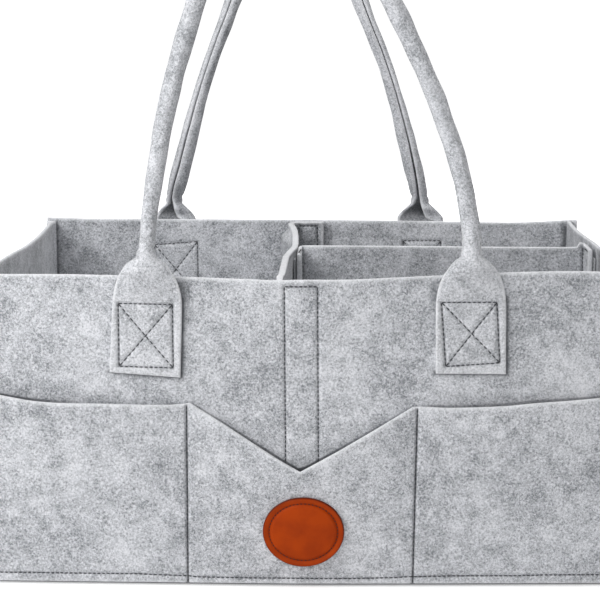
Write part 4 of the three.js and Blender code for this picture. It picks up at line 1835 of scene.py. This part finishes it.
@dataclass
class Base:
    """The base: a felt floor with its edge turned up inside the walls."""

    finishes: Finishes
    profile: tuple[Spot, ...] = (
        (1.4, 0.05), (0.4, 0.4), (0.05, 1.3), (0.0, 3.0), (0.0, 7.0), (0.25, 8.2), (0.9, 8.85), (1.5, 9.0),
        (2.1, 8.85), (2.75, 8.2), (3.0, 7.0), (3.05, 4.6), (3.5, 3.6), (4.6, 3.05),
    )

    def ring(self, inset: float, z: float) -> list[Vector]:
        """Points round the base.

        Args:
            inset: How far in from its edge they lie.
            z: Their height.

        Returns:
            The points, from the front's left end on.
        """
        reach_y, reach_x = SIZES.panel_inner - SIZES.seat - inset, SIZES.side_inner - SIZES.seat - inset
        steps = [-1 + 2 * k / 44 for k in range(44)]
        front, back = WALLS[Side.FRONT], WALLS[Side.BACK]
        left, right = WALLS[Side.LEFT], WALLS[Side.RIGHT]
        points = [front.point(u * reach_x, reach_y + front.bow(u * reach_x, z), z) for u in steps]
        points += [right.point(u * reach_y, reach_x + right.bow(u * reach_y, z), z) for u in steps]
        points += [back.point(-u * reach_x, reach_y + back.bow(u * reach_x, z), z) for u in steps]
        points += [left.point(-u * reach_y, reach_x + left.bow(u * reach_y, z), z) for u in steps]
        return points

    def build(self) -> None:
        """Makes the base and the thread round its turned-up edge."""
        rings = [self.ring(inset, z) for inset, z in self.profile]
        cut = [0.0, 0.0, 0.0, 0.0, 0.3, 0.7, 1.0, 1.0, 1.0, 0.7, 0.3, 0.0, 0.0, 0.0]
        edge = rings[-1]
        for share in (0.9, 0.7, 0.4, 0.15):
            rings.append([Vector((p.x * share, p.y * share, 3.0 + 0.25 * noise.noise(p * share / 40.0))) for p in edge])
            cut.append(0.0)
        count = len(rings[0])
        points = [p for ring in rings for p in ring] + [Vector((0, 0, 3.0)), Vector((0, 0, 0.05))]
        weights = [value for value in cut for _ in range(count)] + [0.0, 0.0]
        piece = mesh_object("base_felt", points, ringed_faces(len(rings), count), weights)
        dress(piece, self.finishes.felt, "bag", "felt", ["base_panel"])
        thread = ThreadWork("base_stitches")
        ring = self.ring(3.06, BASE_STITCH + 0.4)
        inward = self.ring(3.5, BASE_STITCH + 0.4)
        for k in range(count):
            a, b = ring[k], ring[(k + 1) % count]
            lifted = inward[k] - a
            stitches = max(1, round((b - a).length / 2.8))
            for m in range(stitches):
                ends = [a.lerp(b, (m + share) / stitches) for share in (0.12, 0.3, 0.5, 0.7, 0.88)]
                thread.stitch([p + lifted * off for p, off in zip(ends, (-0.5, 0.3, 0.5, 0.3, -0.5))])
        thread.build(self.finishes.thread, "bag")


@dataclass
class Dividers(WallPiece):
    """The two dividers that lift out, with the tapes that hold them."""

    tape_seams: float = 1.9  # thread from a tape's edge
    short: float = 1.4  # by which the centre divider's turned ends are narrower than the long divider's
    # how far the centre divider's top leans to the right along it
    rear_lean: Knots = ((-40, 0.0), (-17, 2.0), (4, 4.1), (35, 3.6), (65, 2.6), (96, 1.4), (112, 0.0))
    swell: float = 4.8  # how far it swells to the left below that
    # how the long divider's top runs along it
    long_top: Knots = (
        (0.0, -2.5), (0.085, -1.0), (0.1, 0.0), (0.2, 0.1), (0.35, 0.0), (0.55, -0.4), (0.75, -0.9), (1.0, -1.2)
    )
    closer: float = -0.9  # how far the hooks and loops sink into each other at the centre divider
    sunk: float = 1.2  # how far they do at the right wall

    def _tape(
        self, name: str, place: Callable[[float, float, float], Vector], middle: float, width: float, loops: bool,
        body: str, face: Face
    ) -> None:
        """Makes a tape and sews it.

        Args:
            name: Name of the CAD node that it stands for.
            place: The tape's place function.
            middle: Its middle line.
            width: Its width.
            loops: True for loop tape, False for hook tape.
            body: The body that carries it.
            face: The face that shows.
        """
        low, high = SIZES.tape_bottom, SIZES.tape_top if loops else SIZES.tape_top - 0.8
        left, right = middle - width / 2, middle + width / 2
        inset = self.tape_seams
        near, far, tall = left + inset, right - inset, high - low
        round_it = ((near, inset), (far, inset), (far, tall - inset), (near, tall - inset), (near, inset))
        sheet = Sheet(
            name=f"{name}_strip",
            place=lambda along, z, depth: place(along, z + low, depth),
            along=stations(left, right, 2.5),
            up=stations(0.0, tall, 5.0),
            full=tall,
            top=lambda along: tall,
            thickness=SIZES.tape,
            edge_round=0.5,
            seams=[Seam(round_it, (face,), sink=0.35, reach=0.8, pitch=2.6)],
        )
        material, slot = (self.finishes.loops, "loop_tape") if loops else (self.finishes.hooks, "hook_tape")
        dress(sheet.build(), material, body, slot, [name])
        thread = ThreadWork(f"{name}_stitches", radius=0.28)
        thread.sew(sheet)
        thread.build(self.finishes.thread, body, slot)

    def _flange_seams(self, edge: float, fold: float, face: Face) -> list[Seam]:
        """The thread that holds a tape on a turned end.

        Args:
            edge: Place of the end's cut edge along the divider.
            fold: Place of its fold.
            face: The face of the felt that shows the thread.

        Returns:
            The seams.
        """
        low, high = SIZES.tape_bottom + 2, FLANGE_STITCH_TOP
        near, far = (edge + 4.4, fold - 4.5) if edge < fold else (fold + 2.0, edge - 4.4)
        return box_seam(((near, low), (far, low), (far, high), (near, high)), crossed=False, faces=(face,))

    def _centre(self) -> None:
        """Makes the divider that runs from the front wall to the back wall."""
        x = SIZES.centre_divider_x
        reach = SIZES.panel_inner - SIZES.tape_stack - SIZES.felt / 2
        tip = x - SIZES.felt / 2 + SIZES.flange_width - self.short
        front, back = WALLS[Side.FRONT], WALLS[Side.BACK]

        def path(z: float) -> list[Vector]:
            """The divider's middle line in plan, which swells at its folds and leans at the back.

            Args:
                z: Height.

            Returns:
                Its points.
            """
            first = [Vector((p, -reach - front.bow(p, z))) for p in (tip, (tip + x) / 2)]
            last = [Vector((p, reach + back.bow(p, z))) for p in ((tip + x) / 2, tip)]
            lean, tip_over = ease(120.0, SIZES.divider_top, z), ease(179.0, SIZES.divider_top, z)
            front_y, back_y = first[1].y, last[0].y
            pull, push = blend_between(-12.5, -5.6, tip_over), blend_between(-8.5, -1.2, tip_over)
            front_bends = ((4, 0), (-2.5, 0), (-0.8, 4), (0, 14))
            back_bends = ((5, 0), (pull, 0), (push, -15), (0, -36))
            front_fold = bezier([Vector((x + aside, front_y + back)) for aside, back in front_bends], 16)
            back_fold = bezier([Vector((x + aside, back_y + back)) for aside, back in back_bends], 16)
            straight = [front_fold[-1].lerp(back_fold[-1], k / 40) for k in range(1, 40)]
            line = [*first, *front_fold, *straight, *reversed(back_fold), *last]
            swell = self.swell * math.exp(-(((z - 180.0) / 4.5) ** 2))
            swells = [swell * math.exp(-(((p.y - 84.0) / 16.0) ** 2)) for p in line]
            return [p + Vector((lean * smooth_curve(self.rear_lean, p.y) - out, 0)) for p, out in zip(line, swells)]

        bent = BentSheet(path, fold=0.0, turn=-1.0)
        far, turn = bent.length, SIZES.flange_width - self.short - 2.5
        seams = [*self._flange_seams(0.0, turn, Face.OUTER), *self._flange_seams(far, far - turn, Face.OUTER)]
        low, middle = SIZES.divider_bottom, SIZES.felt / 2
        height = SIZES.divider_top - low

        def place(along: float, z: float, depth: float) -> Vector:
            """A point of the divider, whose felt is fuller at its top edge."""
            fuller = 1.0 + 0.45 * ease(180.5, 185.0, z)
            return bent.place(along, z + low, middle + (depth - middle) * fuller)

        def top(along: float) -> float:
            """Height of the divider's top edge, a little lower at its front end and higher at its back end."""
            return height - 4.0 * (1.0 - ease(turn - 4, turn + 8, along)) + 1.2 * ease(far - 60, far - 30, along)

        sheet = Sheet(
            name="centre_divider_felt",
            place=place,
            along=crowded(
                0.0, far, 4.0, (turn, turn + 12, far - turn, far - turn - 12, far - turn - 24), (4.4, far - 4.4)
            ),
            up=stations(
                0.0, height, 5.0, near=(FLANGE_STITCH_TOP - low,),
                exact=(150, 156, 162, 166, 169, 172, *range(174, 185))
            ),
            full=height,
            top=top,
            edge_round=0.6,
            seams=[seam.lowered(low) for seam in seams],
        )
        self.sew_up(sheet, "centre_divider", "centre_divider")

    def _long(self) -> None:
        """Makes the divider that runs from the centre divider to the right wall."""
        left = SIZES.centre_divider_x + SIZES.felt / 2 + SIZES.tape_stack + SIZES.felt / 2 - self.closer
        right = SIZES.side_inner - SIZES.tape_stack - SIZES.felt / 2 + self.sunk
        y = SIZES.long_divider_y
        tip = y + SIZES.felt / 2 - SIZES.flange_width
        wall = WALLS[Side.RIGHT]

        def path(z: float) -> list[Vector]:
            """The divider's middle line in plan.

            Args:
                z: Height.

            Returns:
                Its points.
            """
            end = [wall.point(p, right + wall.bow(p, z), 0).to_2d() for p in (y, (y + tip) / 2, tip)]
            start = Vector((left, y))
            sag = [start.lerp(end[0], k / 6) + Vector((0, -1.6 * math.sin(math.pi * k / 6))) for k in range(1, 6)]
            return [Vector((left, tip)), start, *sag, *end]

        bent = BentSheet(path, fold=2.6, turn=1.0)
        far, turn = bent.length, SIZES.flange_width - 2.5
        seams = [*self._flange_seams(0.0, turn, Face.INNER), *self._flange_seams(far, far - turn, Face.INNER)]
        # Lines at the folds: sunk, with painted shade in each fold's inner corner.
        creases = (turn + 1.2, far - turn - 1.2)
        seams += [Seam(((a, 4.0), (a, 186.5)), (Face.INNER,), sink=1.5, reach=1.3) for a in creases]
        low = SIZES.divider_bottom
        height = SIZES.divider_top - low

        def edge_line(along: float) -> float:
            """Height of the divider's top edge, which stands up where it turns at the right wall."""
            bump = 3.0 * ease(-5.8, -3.6, along - far + turn) - 1.6 * ease(-2.8, 2.0, along - far + turn)
            return height + smooth_curve(self.long_top, along / far) + bump

        sheet = Sheet(
            name="long_divider_felt",
            place=lambda along, z, depth: bent.place(along, z + low, depth),
            along=crowded(0.0, far, 5.0, (turn - 2, far - turn + 2, far - turn - 4), (4.4, *creases, far - 4.4)),
            up=stations(0.0, height, 5.0, near=(FLANGE_STITCH_TOP - low,)),
            full=height,
            top=edge_line,
            edge_round=0.8,
            seams=[seam.lowered(low) for seam in seams],
        )
        self.sew_up(sheet, "long_divider", "long_divider")

    def build(self) -> None:
        """Makes the dividers and all the tapes."""
        self._centre()
        self._long()
        tape, seat, felt = SIZES.tape, SIZES.seat, SIZES.felt
        front, back, right = WALLS[Side.FRONT], WALLS[Side.BACK], WALLS[Side.RIGHT]
        panel, side = SIZES.panel_inner, SIZES.side_inner
        loop, hook = SIZES.loop_width, SIZES.hook_width
        for wall, depth, middle, node in (
            (front, panel, 0.0, "front_loop_tape"),
            (back, panel, -self.short, "back_loop_tape"),
            (right, side, SIZES.cross_tape_y, "right_loop_tape"),
        ):
            self._tape(node, self.on_wall(wall, depth - seat - tape), middle, loop, True, "bag", Face.INNER)
        under = tape * 2 + seat * 2
        for wall, depth, middle, node, body in (
            (front, panel, 0.0, "centre_divider_hook_front", "centre_divider"),
            (back, panel, -self.short / 2, "centre_divider_hook_back", "centre_divider"),
            (right, side + self.sunk - seat, SIZES.cross_tape_y, "long_divider_hook_right", "long_divider"),
        ):
            self._tape(node, self.on_wall(wall, depth - under), middle, hook, False, body, Face.OUTER)
        loop_x = SIZES.centre_divider_x + felt / 2 + seat
        hook_x = loop_x + tape + seat - self.closer / 2
        self._tape(
            "centre_divider_loop_tape", lambda y, z, d: Vector((loop_x + d, y, z)), SIZES.cross_tape_y, loop, True,
            "centre_divider", Face.OUTER
        )
        self._tape(
            "long_divider_hook_left", lambda y, z, d: Vector((hook_x + tape - d, y, z)), SIZES.cross_tape_y, hook,
            False, "long_divider", Face.OUTER
        )


@dataclass
class Badge:
    """The leather badge on the middle pocket, bare, padded a little and sewn round its edge."""

    finishes: Finishes
    bands: PocketBands
    width: float = 49.0
    height: float = 44.0
    thickness: float = 2.2
    middle: Spot = (0.8, 34.0)
    stitch_inset: float = 3.9

    def surface(self, x: float, z: float, lift: float) -> Vector:
        """A point over the pocket's felt."""
        depth = SIZES.band_inner + SIZES.felt + SIZES.seat + lift + self.bands.front.stand(x, z)
        return WALLS[Side.FRONT].at(x, depth, z)

    def spot(self, inset: float, angle: float) -> Spot:
        """A place on the badge, in from its edge."""
        x = self.middle[0] + (self.width / 2 - inset) * math.cos(angle)
        return x, self.middle[1] + (self.height / 2 - inset) * math.sin(angle)

    def build(self) -> None:
        """Makes the badge and its stitches."""
        t = self.thickness
        groove = self.stitch_inset
        profile = [
            (1.2, 0.0, 1.0), (0.3, 0.05, 1.0), (0.0, 0.5, 1.0), (0.0, t - 0.6, 1.0), (0.2, t + 0.35, 0.85),
            (0.6, t + 0.62, 0.4), (1.0, t + 0.62, 0.1)
        ]
        profile += [
            (groove - 1.0, t - 0.1, 0.0), (groove - 0.6, t - 0.25, 0.12), (groove - 0.25, t - 0.55, 0.35),
            (groove + 0.1, t - 0.58, 0.35), (groove + 0.4, t - 0.25, 0.12)
        ]
        profile += [
            (groove + 0.8, t + 0.2, 0.0), (groove + 2.2, t + 0.45, 0.0), (groove + 5.0, t + 0.65, 0.0),
            (12.0, t + 0.8, 0.0), (16.0, t + 0.9, 0.0), (19.5, t + 0.95, 0.0)
        ]
        count = 96
        points, cut = [], []
        for inset, lift, stain in profile:
            for k in range(count):
                points.append(self.surface(*self.spot(inset, 2 * math.pi * k / count), lift))
                cut.append(stain)
        points += [self.surface(*self.middle, t + 0.95), self.surface(*self.middle, 0.0)]
        cut += [0.0, 0.0]
        piece = mesh_object("badge_leather", points, ringed_faces(len(profile), count), cut)
        dress(piece, self.finishes.leather, "bag", "leather", ["badge"])
        thread = ThreadWork("badge_stitches")
        stitches = 56
        for k in range(stitches):
            line = []
            for share, lift in ((0.18, -0.4), (0.32, 0.0), (0.5, 0.1), (0.68, 0.0), (0.82, -0.4)):
                angle = 2 * math.pi * (k + share) / stitches
                line.append(self.surface(*self.spot(groove, angle), t - 0.5 + lift))
            thread.stitch(line)
        thread.build(self.finishes.badge_thread, "bag", "leather")


@dataclass
class Studio:
    """A plain white room: pale floor, soft lamps and the camera."""

    lens: float = 114.3
    sensor: float = 36.0
    place: tuple[float, float, float] = (0.0322, -1.2373, 0.3653)
    pitch: float = 80.25
    yaw: float = 1.70
    roll: float = -0.282
    aim: tuple[float, float, float] = (0.0, 0.0, 0.14)

    def camera(self) -> None:
        """Sets the camera where the photograph was taken from."""
        data = bpy.data.cameras.new("camera")
        data.lens, data.sensor_width = self.lens, self.sensor
        camera = bpy.data.objects.new("camera", data)
        turn = Matrix.Rotation(math.radians(self.yaw), 4, "Z") @ Matrix.Rotation(math.radians(self.pitch), 4, "X")
        camera.matrix_world = Matrix.Translation(self.place) @ turn @ Matrix.Rotation(math.radians(self.roll), 4, "Z")
        bpy.context.scene.collection.objects.link(camera)
        bpy.context.scene.camera = camera

    def lamp(self, name: str, place: tuple[float, float, float], size: float, watts: float) -> None:
        """Adds a soft square lamp that faces the bag.

        Args:
            name: Name of the lamp.
            place: Where it stands, in metres.
            size: Length of its side, in metres.
            watts: Its power.
        """
        data = bpy.data.lights.new(name, "AREA")
        data.size, data.energy = size, watts
        lamp = bpy.data.objects.new(name, data)
        lamp.location = place
        lamp.rotation_euler = (Vector(self.aim) - Vector(place)).to_track_quat("-Z", "Y").to_euler()
        bpy.context.scene.collection.objects.link(lamp)

    def floor(self) -> None:
        """Adds the floor, white to the camera, that keeps the bag's shadow, with a painted contact shadow along the
        bag's foot.
        """
        mesh = bpy.data.meshes.new("floor")
        reach = 400.0
        mesh.from_pydata(
            [(-reach, -reach, 0), (reach, -reach, 0), (reach, reach, 0), (-reach, reach, 0)], [], [(0, 1, 2, 3)]
        )
        floor = bpy.data.objects.new("floor", mesh)
        bpy.context.scene.collection.objects.link(floor)
        material, tree, shader, spot = new_material("matt_white_floor")
        path = add_node(tree, "ShaderNodeLightPath")
        seen = add_node(
            tree, "ShaderNodeMath", {0: path.outputs["Is Camera Ray"], 1: path.outputs["Is Glossy Ray"]},
            operation="MAXIMUM"
        )
        away = add_node(tree, "ShaderNodeVectorMath", {0: spot}, operation="LENGTH")
        bright = add_node(
            tree, "ShaderNodeMapRange",
            {"Value": away.outputs["Value"], "From Min": 0.3, "From Max": 0.9, "To Min": 0.36, "To Max": 1.0}
        )
        # Painted contact shadow: next to the bag, ambient occlusion darkens the floor's colour and glow for the camera
        # only.
        open_air = add_node(tree, "ShaderNodeAmbientOcclusion", {"Distance": 0.012})
        contact = add_node(
            tree, "ShaderNodeMapRange",
            {"Value": open_air.outputs["AO"], "From Min": 0.45, "From Max": 0.8, "To Min": 0.0, "To Max": 1.0}
        )
        lit_share = add_node(
            tree, "ShaderNodeMath", {0: bright.outputs["Result"], 1: contact.outputs["Result"]}, operation="MULTIPLY"
        )
        glow = add_node(tree, "ShaderNodeMath", {0: seen.outputs[0], 1: lit_share.outputs[0]}, operation="MULTIPLY")
        unseen = add_node(tree, "ShaderNodeMath", {0: 1.0, 1: seen.outputs[0]}, operation="SUBTRACT")
        open_share = add_node(
            tree, "ShaderNodeMath", {0: contact.outputs["Result"], 1: unseen.outputs[0]}, operation="MAXIMUM"
        )
        shadow = add_node(
            tree, "ShaderNodeMix", {"Factor": open_share.outputs[0], "A": srgb("#6E6E70"), "B": srgb("#F2F2F2")},
            data_type="RGBA"
        )
        set_inputs(tree, shader, {"Base Color": shadow.outputs["Result"], "Roughness": 1.0, "Specular IOR Level": 0.0})
        lit = add_node(tree, "ShaderNodeEmission", {"Color": (1, 1, 1, 1), "Strength": glow.outputs[0]})
        both = add_node(tree, "ShaderNodeAddShader", {0: shader.outputs[0], 1: lit.outputs[0]})
        tree.links.new(both.outputs[0], tree.nodes["Material Output"].inputs["Surface"])
        mesh.materials.append(material)

    def world(self) -> None:
        """Gives an even grey sky that the camera sees as white."""
        world = bpy.data.worlds.new("studio")
        world.use_nodes = True
        tree = world.node_tree
        path = add_node(tree, "ShaderNodeLightPath")
        seen = add_node(
            tree, "ShaderNodeMath", {0: path.outputs["Is Camera Ray"], 1: path.outputs["Is Glossy Ray"]},
            operation="MAXIMUM"
        )
        seen = add_node(
            tree, "ShaderNodeMath", {0: seen.outputs[0], 1: path.outputs["Is Transmission Ray"]}, operation="MAXIMUM"
        )
        strength = add_node(tree, "ShaderNodeMath", {0: seen.outputs[0], 1: 0.875, 2: 0.125}, operation="MULTIPLY_ADD")
        tree.links.new(strength.outputs[0], tree.nodes["Background"].inputs["Strength"])
        tree.nodes["Background"].inputs["Color"].default_value = (1, 1, 1, 1)
        bpy.context.scene.world = world

    def build(self) -> None:
        """Sets up the whole studio."""
        bpy.context.scene.view_settings.view_transform = "Standard"
        self.camera()
        self.floor()
        self.world()
        self.lamp("key", (-0.75, -0.6, 0.8), 0.6, 8.6)
        self.lamp("fill", (-0.2, -2.0, 0.8), 1.6, 12.9)
        self.lamp("top", (0.35, 0.1, 1.5), 0.8, 9.5)
        self.lamp("behind", (0.5, 1.9, 0.6), 1.4, 7.0)


def note_sizes() -> None:
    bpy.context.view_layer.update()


def main() -> None:
    """Builds the studio, then the bag's sub-assemblies in order."""
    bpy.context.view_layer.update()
    Studio().build()
    finishes = Finishes()
    Walls(finishes).build()
    SideWalls(finishes).build()
    Base(finishes).build()
    bands = PocketBands(finishes)
    bands.build()
    Dividers(finishes).build()
    for handle in (FRONT_HANDLE, BACK_HANDLE):
        handle.build(finishes)
    Badge(finishes, bands).build()
    note_sizes()


if __name__ == "__main__":
    main()
